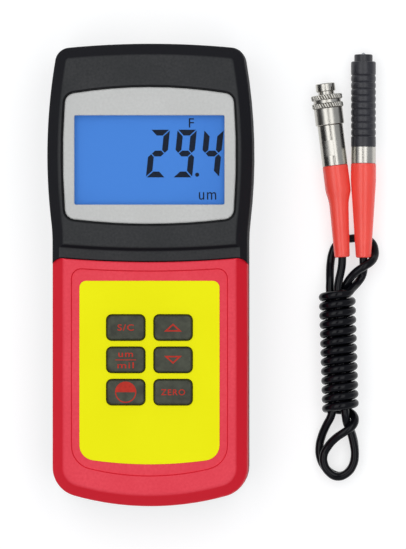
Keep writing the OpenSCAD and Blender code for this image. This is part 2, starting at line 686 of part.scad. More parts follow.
module sensor_sleeve() color("#1b1b1f") in_probe() difference() {
    translate([0, 0, sensor_foot]) cylinder(r = sensor_r, h = sensor_end - sensor_foot);
    translate([0, 0, sensor_foot - 1]) cylinder(r = sensor_r - 0.7, h = sensor_end - sensor_foot + 0.2);
    cylinder(r = tip_r + 0.02, h = 2 * sensor_end);
}

// pole of the sensor with its hard round tip
module sensor_tip() color("#d7d9dc") in_probe() {
    translate([0, 0, sensor_foot + 0.2]) cylinder(r = sensor_r - 0.72, h = 1);
    translate([0, 0, sensor_foot + 0.2]) cylinder(r = tip_r, h = sensor_end - sensor_foot - 0.2);
    translate([0, 0, sensor_end]) sphere(r = tip_r);
}

module sensor_coil() color("#b87333") in_probe() translate([0, 0, sensor_foot + 1.2]) difference() {
    cylinder(r = sensor_r - 1, h = 8);
    translate([0, 0, -1]) cylinder(r = tip_r + 0.02, h = 10);
}

module sensor_spring() color("#cfd1d5") in_probe() translate([0, 0, spring_seat]) coil(2.2, 0.5, sensor_foot - spring_seat, 5, 5, 8);

// plug

module plug_body() color("#cfd0d2") in_plug() difference() {
    union() {
        cylinder(r = sleeve_d / 2, h = sleeve_len);
        translate([0, 0, -6]) cylinder(r = 3.2, h = 8);
        cylinder(r = spindle_r, h = ring_end + 0.1);
        cylinder(r = nose_r - 0.6, h = nose_s + 1);
        translate([0, 0, nose_s]) cylinder(r = nose_r, h = nose_len);
    }
    translate([0, 0, ring_s + 2]) cylinder(r = nose_r - 1, h = 40);
    translate([0, 0, -10]) cylinder(r = 1.6, h = 40);
    rotate(-20) translate([-2, -sleeve_d / 2 - 1, 3.5]) cube([4, 1.25, 5.4]);
    for (a = [-38, 38]) rotate(a) translate([-0.25, -nose_r - 1, nose_s - 1]) cube([0.5, 2, nose_len - 0.4]);
}

module plug_insert() color("#202023") in_plug() slab(ring_s + 4, plug_end - 0.5) difference() {
    circle(nose_r - 1.02);
    at_pins() circle(pin_r + 0.22);
}

module plug_contacts() color("#d9b85a") in_plug() slab(ring_s + 3, plug_end - 0.5) at_pins() difference() {
    circle(pin_r + 0.2);
    circle(pin_r + 0.05);
}

// knurled ring that turns on the plug's spindle
module coupling_ring() color("#c4c5c8") in_plug() translate([0, 0, ring_s]) difference() {
    union() {
        cylinder(r = knurl_r - 0.45, h = ring_len - 4.65);
        translate([0, 0, ring_len - 4.65]) cylinder(r = knurl_r - 0.65, h = 4.65);
        for (z = [ring_len - 4.65, ring_len - 1.8]) slab(z, z + 1.8)
            polygon([for (i = [0:71]) let (r = i % 2 ? knurl_r : knurl_r - 0.22) r * [cos(i * 5), sin(i * 5)]]);
    }
    translate([0, 0, -1]) cylinder(r = spindle_r + ring_clear, h = 20);
}

// red boot: a skirt behind the sleeve, then a tail that bends a little towards the lead
module plug_boot() color("#e8453c") {
    in_plug() difference() {
        translate([0, 0, -boot_skirt]) cylinder(r = sleeve_d / 2, h = boot_skirt);
        translate([0, 0, -6.1]) cylinder(r = 3.25, h = 7);
    }
    translate([plug_x, plug_y, plug_z] - boot_skirt * plug_dir) rotate([0, 0, tail_yaw]) rotate([-90 - plug_pitch, 0, 0])
        rotate_extrude() polygon([[0, 1], [sleeve_d / 2 - 0.15, 0.3], [sleeve_d / 2 - 0.1, -0.5], [3.6, -3.5],
            [boot_tail_d / 2 + 0.03, 0.4 - tail_len], [boot_tail_d / 2 - 0.3, -tail_len], [0, -tail_len]]);
}

// lead

module lead_wrap() color("#15151a") translate(wrap_c) rotate([0, 0, wrap_yaw]) rotate([90, 0, 0]) cylinder(d = wrap_d, h = wrap_len, center = true);

module probe_lead() color("#15151a") tube(probe_lead_route, cord_d, -probe_dir, -wrap_dir);
module plug_lead() color("#15151a") tube(plug_lead_route, cord_d, -tail_dir, -wrap_dir);
module top_loop() color("#15151a") tube(top_loop_route, cord_d, wrap_dir, -wrap_dir);
module front_loop() color("#15151a") tube(front_loop_route, cord_d, -wrap_dir, wrap_dir);
module back_loop() color("#15151a") tube(back_loop_route, cord_d, -wrap_dir, wrap_dir);

rear_case();
front_case();
grip_cover();
battery_door();
case_screws();
display_bezel();
display_lens();
lcd_glass();
backlight();
display_tray();
contact_strips();
main_board();
board_screws();
keypad_mat();
keypad_label();
key_scale();
key_up();
key_units();
key_down();
key_power();
key_zero();
cell_1();
cell_2();
cell_3();
cell_4();
battery_plates();
battery_springs();
socket_shell();
socket_insert();
socket_pins();
socket_nut();
probe_boot();
probe_ferrule();
probe_grip();
probe_core();
sensor_sleeve();
sensor_tip();
sensor_coil();
sensor_spring();
plug_body();
plug_insert();
plug_contacts();
coupling_ring();
plug_boot();
lead_wrap();
probe_lead();
plug_lead();
top_loop();
front_loop();
back_loop();
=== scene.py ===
# Coating thickness gauge: a handset with a lit display and six rubber keys, and the pen probe
# on its wrapped lead, which ends in a screw plug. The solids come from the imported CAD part,
# and each section below dresses one piece, or a group of like pieces, in its real finish.
import json
import math

import bmesh
import bpy
from mathutils import Matrix, Vector

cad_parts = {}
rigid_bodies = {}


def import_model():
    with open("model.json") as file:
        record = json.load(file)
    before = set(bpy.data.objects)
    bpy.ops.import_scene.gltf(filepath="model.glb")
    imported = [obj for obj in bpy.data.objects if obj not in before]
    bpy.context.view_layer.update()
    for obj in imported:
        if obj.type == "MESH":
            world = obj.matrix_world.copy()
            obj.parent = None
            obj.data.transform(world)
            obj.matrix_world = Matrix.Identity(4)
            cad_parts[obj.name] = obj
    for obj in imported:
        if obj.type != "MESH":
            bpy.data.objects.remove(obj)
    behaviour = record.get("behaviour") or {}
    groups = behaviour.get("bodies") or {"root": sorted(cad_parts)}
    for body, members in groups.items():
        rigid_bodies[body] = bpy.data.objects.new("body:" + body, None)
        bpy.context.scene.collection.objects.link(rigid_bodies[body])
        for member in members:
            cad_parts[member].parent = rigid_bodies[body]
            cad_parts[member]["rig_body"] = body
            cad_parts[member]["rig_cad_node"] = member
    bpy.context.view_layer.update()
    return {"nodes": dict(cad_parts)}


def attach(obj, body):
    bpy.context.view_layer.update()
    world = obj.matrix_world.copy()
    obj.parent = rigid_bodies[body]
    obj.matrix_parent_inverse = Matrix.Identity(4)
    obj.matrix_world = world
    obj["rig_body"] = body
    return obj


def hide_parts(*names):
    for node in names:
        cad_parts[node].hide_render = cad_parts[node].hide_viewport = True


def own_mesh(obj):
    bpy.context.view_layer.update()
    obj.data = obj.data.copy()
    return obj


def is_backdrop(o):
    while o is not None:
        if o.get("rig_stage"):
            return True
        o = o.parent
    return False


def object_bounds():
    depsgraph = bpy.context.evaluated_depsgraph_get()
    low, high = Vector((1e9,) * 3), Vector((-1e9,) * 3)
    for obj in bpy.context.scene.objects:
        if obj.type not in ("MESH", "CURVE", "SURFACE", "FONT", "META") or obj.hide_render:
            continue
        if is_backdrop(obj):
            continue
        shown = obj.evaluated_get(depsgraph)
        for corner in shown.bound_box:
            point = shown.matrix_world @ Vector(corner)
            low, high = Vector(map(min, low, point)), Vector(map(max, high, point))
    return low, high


bpy.ops.object.select_all(action="SELECT")
bpy.ops.object.delete(use_global=False)
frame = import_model()
MM = 0.001


# The table and the light: a sheet of opal acrylic lit from below, as a product table is, under
# two long soft boxes. The dark gap between them draws dark lines down the bright metal tubes, and
# the room around is a plain pale grey under a dark ceiling.
def from_hex(code):
    """An sRGB hex colour as linear red, green, blue and alpha."""
    parts = [int(code[i : i + 2], 16) / 255 for i in (1, 3, 5)]
    return [p / 12.92 if p <= 0.04045 else ((p + 0.055) / 1.055) ** 2.4 for p in parts] + [1.0]


def add_node(tree, kind, links=(), **settings):
    """One node with its settings; links are (input, socket or value) pairs."""
    made = tree.nodes.new(kind)
    for key, value in settings.items():
        setattr(made, key, value)
    for key, value in links:
        if isinstance(value, bpy.types.NodeSocket):
            tree.links.new(value, made.inputs[key])
        else:
            made.inputs[key].default_value = value
    return made


def scale_of(size):
    """The texture scale at which a pattern measures so many millimetres."""
    return 1 / (size * MM)


def new_finish(name):
    """A new material, its node tree and its shader."""
    finish = bpy.data.materials.new(name)
    finish.use_nodes = True
    return finish, finish.node_tree, finish.node_tree.nodes["Principled BSDF"]


def mottled(tree, shader, size, low, high, detail=2.0):
    """Patches of a size in millimetres between two colours; returns the node of their pattern."""
    place = add_node(tree, "ShaderNodeTexCoord")
    patches = add_node(
        tree, "ShaderNodeTexNoise",
        [("Vector", place.outputs["Object"]), ("Scale", scale_of(size)), ("Detail", detail)],
    )
    shade = add_node(tree, "ShaderNodeValToRGB", [("Fac", patches.outputs["Fac"])])
    shade.color_ramp.elements[0].color = from_hex(low)
    shade.color_ramp.elements[1].color = from_hex(high)
    tree.links.new(shade.outputs["Color"], shader.inputs["Base Color"])
    return patches


scene = bpy.context.scene
scene.view_settings.view_transform = "Standard"
world = bpy.data.worlds.new("grey_room")
world.use_nodes = True
place = add_node(world.node_tree, "ShaderNodeTexCoord")
height = add_node(world.node_tree, "ShaderNodeSeparateXYZ", [("Vector", place.outputs["Generated"])])
room = add_node(world.node_tree, "ShaderNodeValToRGB", [("Fac", height.outputs["Z"])])
room.color_ramp.elements[0].position = 0.955
room.color_ramp.elements[0].color = from_hex("#c9ccd1")
room.color_ramp.elements[1].position = 0.985
room.color_ramp.elements[1].color = from_hex("#1c1c1e")
world.node_tree.links.new(room.outputs["Color"], world.node_tree.nodes["Background"].inputs["Color"])
world.node_tree.nodes["Background"].inputs["Strength"].default_value = 0.8
scene.world = world

TABLE_SIZE, TABLE_DROP = 4000.0, 0.3
bpy.ops.mesh.primitive_plane_add(size=TABLE_SIZE * MM, location=(0, 0, 0))
table = bpy.context.object
table.name = "table_top"
table.data.transform(Matrix.Translation((0, 0, -TABLE_DROP * MM)))
# Opal acrylic: milk white, brightest over the lamp in the middle and pale grey further out, so
# that shadows near the part stay pale and the sides of the part don't wash out.
opal, tree, shader = new_finish("white_opal_acrylic")
mottled(tree, shader, 111, "#b0b0b0", "#b5b5b5", 3.0)
place = add_node(tree, "ShaderNodeTexCoord")
shader.inputs["Roughness"].default_value = 0.85
shader.inputs["Specular IOR Level"].default_value = 0.1
shader.inputs["Emission Color"].default_value = from_hex("#ffffff")
centred = add_node(
    tree, "ShaderNodeMapping",
    [("Vector", place.outputs["Object"]), ("Location", (-0.06, 0, 0)), ("Scale", (3.3, 2.6, 0.0))],
)
lamp = add_node(
    tree, "ShaderNodeTexGradient", [("Vector", centred.outputs["Vector"])], gradient_type="SPHERICAL",
)
glow = add_node(
    tree, "ShaderNodeMapRange",
    [
        ("Value", lamp.outputs["Fac"]), ("From Min", 0.0), ("From Max", 0.62), ("To Min", 0.16),
        ("To Max", 0.64),
    ],
    interpolation_type="SMOOTHSTEP",
)
tree.links.new(glow.outputs["Result"], shader.inputs["Emission Strength"])
table.data.materials.append(opal)
table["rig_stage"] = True

# The soft boxes in metres: the middle between them, how far up the table, how high and how long.
BOX_MIDDLE, BOX_UP, BOX_HIGH, BOX_LONG = 0.0184, 0.16, 0.85, 1.3
for name, x, wide, lean, power in (
    ("soft_box_left", -0.34, 0.5, 22, 3.15),
    ("soft_box_right", 0.3, 0.46, 20, 2.9),
):
    bpy.ops.object.light_add(type="AREA", location=(BOX_MIDDLE + x, BOX_UP, BOX_HIGH))
    box = bpy.context.object
    box.name = name
    box.data.shape = "RECTANGLE"
    box.data.size, box.data.size_y = wide, BOX_LONG
    box.data.energy = power
    box.rotation_euler = (0, math.copysign(math.radians(lean), x), 0)
    box.visible_camera = False

# The camera looks straight down on the gauge, turned a degree and a half so that it sees a
# sliver of the right-hand side, from far enough away that the edges stay nearly parallel.
LENS, SENSOR_W, VIEW_H = 500.0, 36.0, 190.8
reach = VIEW_H * LENS / SENSOR_W * MM
lean = math.radians(1.5)
aim = Vector((18.34, 0.17, 22)) * MM
back = Vector((math.sin(lean), 0, math.cos(lean)))
bpy.ops.object.camera_add(location=aim + back * reach)
camera = bpy.context.object
camera.rotation_euler = (0, lean, 0)
camera.data.lens = LENS
camera.data.sensor_width = SENSOR_W
camera.data.clip_end = 20.0
scene.camera = camera

# The lead: 2.9 mm of soft black PVC. It leaves the probe's boot, is wound thirteen times round
# its own folded strands, and comes out at the top into the plug's boot. Two short loops hang
# out at the lower end and one passes behind both boots.
CORD_D = 2.9
WRAP_C, WRAP_YAW = Vector((65.4, -27.0, 6.5)), math.radians(1.7)
PROBE_AT, PROBE_PITCH = Vector((74.0, 6.0, 6.2954)), math.radians(1.6)
PLUG_AT, PLUG_YAW, PLUG_PITCH = Vector((64.1, 38.2, 5.7203)), math.radians(7), math.radians(0.6)
TAIL_BEND, TAIL_LEN, TAIL_YAW = 8.7, 23.42, math.radians(3.5)


def heading(yaw, pitch):
    """The direction of an axis that lies up the table, turned left by yaw and tipped down by pitch."""
    level = math.cos(pitch)
    return Vector((-math.sin(yaw) * level, math.cos(yaw) * level, -math.sin(pitch)))


WRAP_DIR = heading(WRAP_YAW, 0)
WRAP_SIDE = Vector((math.cos(WRAP_YAW), math.sin(WRAP_YAW), 0))
PROBE_DIR = heading(0, PROBE_PITCH)
PLUG_DIR = heading(PLUG_YAW, PLUG_PITCH)
TAIL_DIR = heading(TAIL_YAW, PLUG_PITCH)
TAIL_END = PLUG_AT - TAIL_BEND * PLUG_DIR - TAIL_LEN * TAIL_DIR
IN_BOOT = 2.5


def in_wrap(along, u, w):
    """A point of the wrapped bundle: along its axis from the middle, across it, and up."""
    return WRAP_C + WRAP_DIR * along + WRAP_SIDE * u + Vector((0, 0, w))


def strand(*places):
    """A stretch of lead in the bundle, through (along, across, up) places."""
    return [in_wrap(*place) for place in places]


def loose(*places):
    """A stretch of lead outside the bundle, through places in millimetres."""
    return [Vector(place) for place in places]


from_probe = [PROBE_AT + IN_BOOT * PROBE_DIR, PROBE_AT] + loose(
    (74.03, 4.6, 6.15), (74.05, 3.2, 5.6), (74.02, 1.9, 4.8), (73.8, 0.6, 4.25), (73.3, -0.75, 4.1),
    (72.4, -2.1, 4.4), (71.3, -3.4, 5.4), (70.1, -4.7, 7.2),
)
TURNS, TURN_R, TURN_STEP, TOP_ALONG, LOW_ALONG = 13, 5.05, 22.5, 20.6, -20.6
first, last = 42.0, TURNS * 360.0 - 65.0
steps = int((last - first) / TURN_STEP)
wound = []
for i in range(steps + 1):
    phi = math.radians(first + (last - first) * i / steps)
    along = TOP_ALONG + (LOW_ALONG - TOP_ALONG) * i / steps
    wound.append(in_wrap(along, TURN_R * math.cos(phi), TURN_R * math.sin(phi)))
front_loop = strand((-21.3, 3.5, -3.5), (-22.3, 4.5, -2.1), (-23.5, 4.9, -0.5)) + loose(
    (70.7, -51.9, 7.2), (69.4, -53.5, 8.1), (67, -55.1, 8.0), (64.2, -57.1, 6.8), (61.6, -60, 5.2),
    (60.1, -63, 4.5), (60.2, -66, 4.5), (61.8, -68.8, 4.5), (64.7, -70.5, 4.5), (68.1, -69.4, 4.5),
    (70.4, -66.3, 4.5), (71, -62.6, 4.5), (70.5, -58.6, 4.6), (69.5, -54.8, 4.9), (68.2, -51.6, 6.0),
)
first_strand = strand(
    (-22, 1.7, 0.4), (-17, 1.4, 1.0), (-10, 1.2, 1.3), (-4, 0.3, 1.5), (2, -0.1, 0.3), (8, 0.8, -1.3),
    (15, 1.6, -1.3), (22, 2.4, -1.0),
)
top_loop = loose(
    (68.2, -2.9, 6.1), (69.9, -0.5, 7.0), (72, 1.5, 8.1), (74.3, 3, 8.6), (76.4, 4.4, 7.4),
    (77.8, 6.4, 5.0), (77.9, 8.8, 3.2), (77.1, 11, 2.1), (75.4, 12.4, 1.55), (73, 13, 1.45),
    (70.1, 12.8, 1.45), (66.8, 12.2, 1.45), (64.4, 10.4, 1.45), (63.1, 7.6, 1.5), (62.5, 4.4, 2.2),
    (62.3, 1.2, 3.6), (62.3, -2.2, 5.0),
)
left_strand = strand(
    (22, -2.5, -0.9), (16, -2.0, -0.4), (8, -2.1, -0.2), (0, -2.1, -0.4), (-8, -2.1, -0.3),
    (-16, -2.1, -0.5), (-22, -3.3, -1.0),
)
back_loop = loose(
    (60.9, -52.8, 4.2), (59.4, -56.4, 2.4), (58.6, -60, 1.5), (58.8, -63.6, 1.45), (60.3, -67, 1.45),
    (63, -69.5, 1.45), (66.4, -70.2, 1.45), (69.4, -68, 1.45), (70.8, -64.4, 1.45), (70.9, -60.4, 1.45),
    (70.2, -56.4, 1.5), (68.8, -52.6, 2.0),
)
last_strand = strand(
    (-22, 1.6, -2.3), (-17, 1.3, -1.9), (-10, 1.4, -1.6), (-4, 1.9, -0.9), (2, 2.0, 0.3), (8, 1.3, 1.5),
    (15, 0.5, 1.9), (22, 0.3, 2.0),
)
to_plug = loose((65.5, -1.6, 7.6), (66.1, 1.0, 6.8), (66.5, 3.6, 6.3))
to_plug += [TAIL_END, TAIL_END + IN_BOOT * TAIL_DIR]
route = from_probe + wound + front_loop + first_strand + top_loop
route += left_strand + back_loop + last_strand + to_plug

lead_curve = bpy.data.curves.new("lead", "CURVE")
lead_curve.dimensions = "3D"
lead_curve.bevel_depth = CORD_D / 2 * MM
lead_curve.bevel_resolution = 6
lead_curve.resolution_u = 6
lead_curve.use_fill_caps = True
line = lead_curve.splines.new("BEZIER")
line.bezier_points.add(len(route) - 1)
for knot, spot in zip(line.bezier_points, route):
    knot.co = spot * MM
    knot.handle_left_type = knot.handle_right_type = "AUTO"
lead = bpy.data.objects.new("lead", lead_curve)
scene.collection.objects.link(lead)

# Extruded PVC: glossy, with long faint waves from the extruder and a film of dust.
pvc, tree, shader = new_finish("black_pvc_lead")
dust = mottled(tree, shader, 2.38, "#08080c", "#0e0e13", 4.0)
place = add_node(tree, "ShaderNodeTexCoord")
sheen = add_node(
    tree, "ShaderNodeMapRange", [("Value", dust.outputs["Fac"]), ("To Min", 0.08), ("To Max", 0.15)],
)
tree.links.new(sheen.outputs["Result"], shader.inputs["Roughness"])
wave = add_node(tree, "ShaderNodeTexNoise", [("Vector", place.outputs["Object"]), ("Scale", scale_of(3.85))])
ripple = add_node(
    tree, "ShaderNodeBump", [("Height", wave.outputs["Fac"]), ("Strength", 0.08), ("Distance", 0.0003)],
)
tree.links.new(ripple.outputs["Normal"], shader.inputs["Normal"])
shader.inputs["IOR"].default_value = 1.53
shader.inputs["Specular IOR Level"].default_value = 0.16
lead.data.materials.append(pvc)
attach(lead, "handset")
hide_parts("lead_wrap", "probe_lead", "plug_lead", "top_loop", "front_loop", "back_loop")


# The rear moulding: black ABS with a fine spark-eroded grain, rounded round the back, with the
# battery bay, the door's track and the screw wells in it. The CAD shape is taken over, its
# triangles merged and its sharp edges rounded as a mould rounds them.
def even_shading(piece, limit):
    """Smooth shading up to an angle, which leaves the flat faces flat."""
    bpy.ops.object.shade_smooth_by_angle(angle=math.radians(limit))
    bpy.ops.object.modifier_add(type="WEIGHTED_NORMAL")
    evened = piece.modifiers[-1]
    evened.weight = 100
    evened.keep_sharp = True
    bpy.ops.object.modifier_apply(modifier=evened.name)


def moulded(node, name, body, width, weigh, levels=3):
    """A merged copy of a CAD node with rounded edges; weigh(a, b) gives an edge's share of width."""
    bpy.ops.object.select_all(action="DESELECT")
    piece = frame["nodes"][node].copy()
    piece.data = piece.data.copy()
    piece.name = piece.data.name = name
    piece.parent = None
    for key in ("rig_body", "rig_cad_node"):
        del piece[key]
    scene.collection.objects.link(piece)
    piece.data.materials.clear()
    piece.select_set(True)
    bpy.context.view_layer.objects.active = piece
    bpy.ops.object.mode_set(mode="EDIT")
    bpy.ops.mesh.select_all(action="SELECT")
    bpy.ops.mesh.remove_doubles(threshold=0.004 * MM)
    bpy.ops.mesh.dissolve_limited(angle_limit=math.radians(0.6))
    bpy.ops.object.mode_set(mode="OBJECT")
    mesh = bmesh.new()
    mesh.from_mesh(piece.data)
    share = mesh.edges.layers.float.new("bevel_weight_edge")
    for edge in mesh.edges:
        if len(edge.link_faces) == 2 and edge.calc_face_angle(0) > math.radians(24):
            edge[share] = weigh(edge.verts[0].co / MM, edge.verts[1].co / MM)
    mesh.to_mesh(piece.data)
    mesh.free()
    bpy.ops.object.shade_smooth()
    bpy.ops.object.modifier_add(type="BEVEL")
    rounding = piece.modifiers[-1]
    rounding.limit_method = "WEIGHT"
    rounding.width = width * MM
    rounding.segments = levels
    rounding.use_clamp_overlap = False
    rounding.loop_slide = False
    bpy.ops.object.modifier_apply(modifier=rounding.name)
    even_shading(piece, 28)
    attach(piece, body)
    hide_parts(node)
    return piece


def case_grain(tree, shader, low, high, painted_slope_shade, strength, sheen):
    """Mottle, sheen and grain of a moulded face, with a colour of painted shade on its slopes."""
    # The real grain of 0.2 mm is drawn at 0.91 mm, because it wouldn't show otherwise.
    place = add_node(tree, "ShaderNodeTexCoord")
    cloud = add_node(
        tree, "ShaderNodeTexNoise",
        [("Vector", place.outputs["Object"]), ("Scale", scale_of(18.2)), ("Detail", 6.0)],
    )
    speck = add_node(
        tree, "ShaderNodeTexNoise",
        [("Vector", place.outputs["Object"]), ("Scale", scale_of(0.91)), ("Detail", 2.0)],
    )
    both = add_node(
        tree, "ShaderNodeMath", [(0, cloud.outputs["Fac"]), (1, speck.outputs["Fac"])],
        operation="MULTIPLY",
    )
    shade = add_node(tree, "ShaderNodeValToRGB", [("Fac", both.outputs["Value"])])
    shade.color_ramp.elements[0].position = 0.12
    shade.color_ramp.elements[0].color = from_hex(low)
    shade.color_ramp.elements[1].position = 0.42
    shade.color_ramp.elements[1].color = from_hex(high)
    # The slope mark mixes in the slopes' colour, which is painted shade on the bevels.
    slope = add_node(tree, "ShaderNodeAttribute", attribute_name="slope")
    slope_shade_mix = add_node(
        tree, "ShaderNodeMix",
        [(0, slope.outputs["Fac"]), (6, shade.outputs["Color"]), (7, from_hex(painted_slope_shade))], data_type="RGBA",
    )
    tree.links.new(slope_shade_mix.outputs[2], shader.inputs["Base Color"])
    dull = add_node(
        tree, "ShaderNodeMapRange",
        [("Value", cloud.outputs["Fac"]), ("To Min", sheen - 0.06), ("To Max", sheen + 0.06)],
    )
    tree.links.new(dull.outputs["Result"], shader.inputs["Roughness"])
    depth = add_node(
        tree, "ShaderNodeMapRange",
        [("Value", slope.outputs["Fac"]), ("To Min", strength), ("To Max", strength * 0.3)],
    )
    grain = add_node(
        tree, "ShaderNodeBump",
        [("Height", speck.outputs["Fac"]), ("Strength", depth.outputs["Result"]), ("Distance", 0.0002)],
    )
    tree.links.new(grain.outputs["Normal"], shader.inputs["Normal"])


# Spark-eroded black ABS: the grained faces scatter light and look dark grey. The bevels, where the grain
# is finer, are painted nearly black: painted shade, as they turn away from the light.
black_abs, tree, shader = new_finish("black_grained_abs")
case_grain(tree, shader, "#353637", "#3f3f40", "#1b1b1f", 0.16, 0.6)
shader.inputs["IOR"].default_value = 1.53
shader.inputs["Specular IOR Level"].default_value = 0.04


def lower_edges(top):
    """The share of rounding that leaves out every edge which reaches above a height."""
    return lambda a, b: 1.0 if max(a.z, b.z) < top else 0.0


rear_case = moulded("rear_case", "rear_case_shell", "handset", 0.3, lower_edges(0.05))
rear_case.data.materials.append(black_abs)


# The battery door: a flat slide of the same ABS, held by a tongue along each side. Five round
# grooves across its heel end give the thumb a hold when it is pushed off.
def carve(piece, tool, operation="DIFFERENCE"):
    """Cuts a solid with another, which is used up."""
    bpy.context.view_layer.objects.active = piece
    bpy.ops.object.modifier_add(type="BOOLEAN")
    cut = piece.modifiers[-1]
    cut.operation, cut.solver, cut.object = operation, "EXACT", tool
    bpy.ops.object.modifier_apply(modifier=cut.name)
    bpy.data.objects.remove(tool)


door = moulded("battery_door", "battery_door_slide", "door", 0.28, lower_edges(0.25))
GROOVE_N, GROOVE_STEP, GROOVE_AT = 5, 2.6, Vector((0, -60.0, 0.2))
GROOVE_SIZE = (9.0 * MM, 0.75 * MM, 0.5 * MM, 1)
bpy.ops.object.select_all(action="DESELECT")
bpy.ops.mesh.primitive_uv_sphere_add(segments=24, ring_count=12, radius=1.0)
groove = bpy.context.object
groove.data.transform(Matrix.Translation(GROOVE_AT * MM) @ Matrix.Diagonal(GROOVE_SIZE))
bpy.ops.object.modifier_add(type="ARRAY")
row = groove.modifiers[-1]
row.count, row.use_relative_offset, row.use_constant_offset = GROOVE_N, False, True
row.constant_offset_displace = (0, GROOVE_STEP * MM, 0)
bpy.ops.object.modifier_apply(modifier=row.name)
carve(door, groove)
door.data.materials.append(black_abs)

# The head of the front: the same black ABS, with a wide bevel round a flat face and a shallow
# valley above the keypad. Its outline is the case's chain of arcs, and the mould rounds its long
# edges, so it is lofted ring by ring and then cut for display, valley and seam.
TOP_Y, HEEL_Y, GRIP_W, HEAD_W = 80.5, -80.5, 68.2, 71.8
CROWN_R, CORNER_R, CHEEK_R, CHEEK_DROP = 300.0, 5.4, 197.0, 38.9
WAIST_R, FOOT_R, HEEL_R = 60.0, 10.5, 98.0
SEAM_Y, SEAM_R, STRAIGHT = 4.5, 350.0, 20000.0


def angle_of(v):
    """A flat direction's angle in degrees."""
    return math.degrees(math.atan2(v.y, v.x))


def meet(c0, r0, c1, r1):
    """The right-hand crossing of two circles."""
    v = c1 - c0
    a = (r0 * r0 - r1 * r1 + v.length_squared) / (2 * v.length)
    h = math.sqrt(r0 * r0 - a * a)
    p, n = c0 + v * a / v.length, Vector((-v.y, v.x)) * h / v.length
    return p + n if (p + n).x > (p - n).x else p - n


def sweep(c, r, a0, a1, n, first=0):
    """Points of an arc from one angle to another."""
    turns = [math.radians(a0 + (a1 - a0) * i / n) for i in range(first, n + 1)]
    return [(c.x + r * math.cos(a), c.y + r * math.sin(a)) for a in turns]


def both_sides(half):
    """A closed outline from its right half, top to bottom."""
    return half + [(-x, y) for x, y in reversed(half[1:-1])]


def case_outline(d):
    """The case's outline, clockwise from the top, set in by d: crown, corner, cheek, waist and heel."""
    crown, cheek = Vector((0, TOP_Y - CROWN_R)), Vector((HEAD_W / 2 - CHEEK_R, TOP_Y - CHEEK_DROP))
    corner = meet(crown, CROWN_R - CORNER_R, cheek, CHEEK_R - CORNER_R)
    waist_x = GRIP_W / 2 + WAIST_R
    waist = Vector((waist_x, cheek.y - math.sqrt((CHEEK_R + WAIST_R) ** 2 - (waist_x - cheek.x) ** 2)))
    heel, foot_x = Vector((0, HEEL_Y + HEEL_R)), GRIP_W / 2 - FOOT_R
    foot = Vector((foot_x, heel.y - math.sqrt((HEEL_R - FOOT_R) ** 2 - foot_x ** 2)))
    at_corner, at_cheek = angle_of(corner - crown), angle_of(corner - cheek)
    at_waist, at_heel = angle_of(waist - cheek), angle_of(foot - heel)
    return both_sides(
        sweep(crown, CROWN_R - d, 90, at_corner, 10)
        + sweep(corner, CORNER_R - d, at_corner, at_cheek, 12, 1)
        + sweep(cheek, CHEEK_R - d, at_cheek, at_waist, 20, 1)
        + sweep(waist, WAIST_R + d, 180 + at_waist, 180, 6, 1)
        + sweep(foot, FOOT_R - d, 0, at_heel, 14)
        + sweep(heel, HEEL_R - d, at_heel, -90, 10, 1)
    )


def panel(w, y1, y0, top_r, low_r, rc1, rc0, d=0.0, side_r=STRAIGHT):
    """A rounded panel between y0 and y1 with arcs for edges, set in by d; a negative top_r bows inwards."""
    top, low = Vector((0, y1 - top_r)), Vector((0, y0 + low_r))
    side = Vector((w / 2 - side_r, (y1 + y0) / 2))
    f1 = meet(top, abs(top_r - rc1), side, side_r - rc1)
    f0 = meet(low, low_r - rc0, side, side_r - rc0)
    at_top, at_low = angle_of(f1 - top), angle_of(f0 - low)
    a1, a0 = angle_of(f1 - side), angle_of(f0 - side)
    middle, start = (90, at_top) if top_r > 0 else (-90, at_top + 180)
    return both_sides(
        sweep(top, abs(top_r - d), middle, at_top, 10)
        + sweep(f1, rc1 - d, start, a1, 8, 1)
        + sweep(side, side_r - d, a1, a0, 6, 1)
        + sweep(f0, rc0 - d, a0, at_low, 8, 1)
        + sweep(low, low_r - d, at_low, -90, 10, 1)
    )


def lofted(name, rings):
    """A closed solid through rings of (outline, height) in millimetres, lowest first."""
    bpy.ops.object.select_all(action="DESELECT")
    bpy.ops.mesh.primitive_circle_add(vertices=len(rings[0][0]), radius=MM, fill_type="NGON")
    piece = bpy.context.object
    piece.name = piece.data.name = name
    for vert, (x, y) in zip(piece.data.vertices, rings[0][0]):
        vert.co = (x * MM, y * MM, rings[0][1] * MM)
    where = {tuple(vert.co): vert.index for vert in piece.data.vertices}
    bpy.ops.object.mode_set(mode="EDIT")
    bpy.ops.mesh.select_mode(type="FACE")
    bpy.ops.mesh.select_all(action="SELECT")
    for outline, z in rings[1:]:
        bpy.ops.mesh.extrude_region_move(TRANSFORM_OT_translate={"value": (0, 0, 0)})
        bpy.ops.object.mode_set(mode="OBJECT")
        moved = {}
        for vert in piece.data.vertices:
            if vert.select:
                i = where[tuple(vert.co)]
                vert.co = (outline[i][0] * MM, outline[i][1] * MM, z * MM)
                moved[tuple(vert.co)] = i
        where = moved
        bpy.ops.object.mode_set(mode="EDIT")
    bpy.ops.mesh.select_all(action="SELECT")
    bpy.ops.mesh.normals_make_consistent(inside=False)
    bpy.ops.object.mode_set(mode="OBJECT")
    return piece


def rounded(corners, radii, n=6):
    """A profile of (inset, height) corners with each inner corner rounded."""
    path = [corners[0]]
    for before, at, after, r in zip(corners, corners[1:], corners[2:], radii):
        at = Vector(at)
        u, v = (Vector(before) - at).normalized(), (Vector(after) - at).normalized()
        half = u.angle(v) / 2
        middle = at + (u + v).normalized() * r / math.sin(half)
        start, end = at + u * r / math.tan(half) - middle, at + v * r / math.tan(half) - middle
        path += [tuple(middle + start.slerp(end, i / n).normalized() * r) for i in range(n + 1)]
    return path + [corners[-1]]


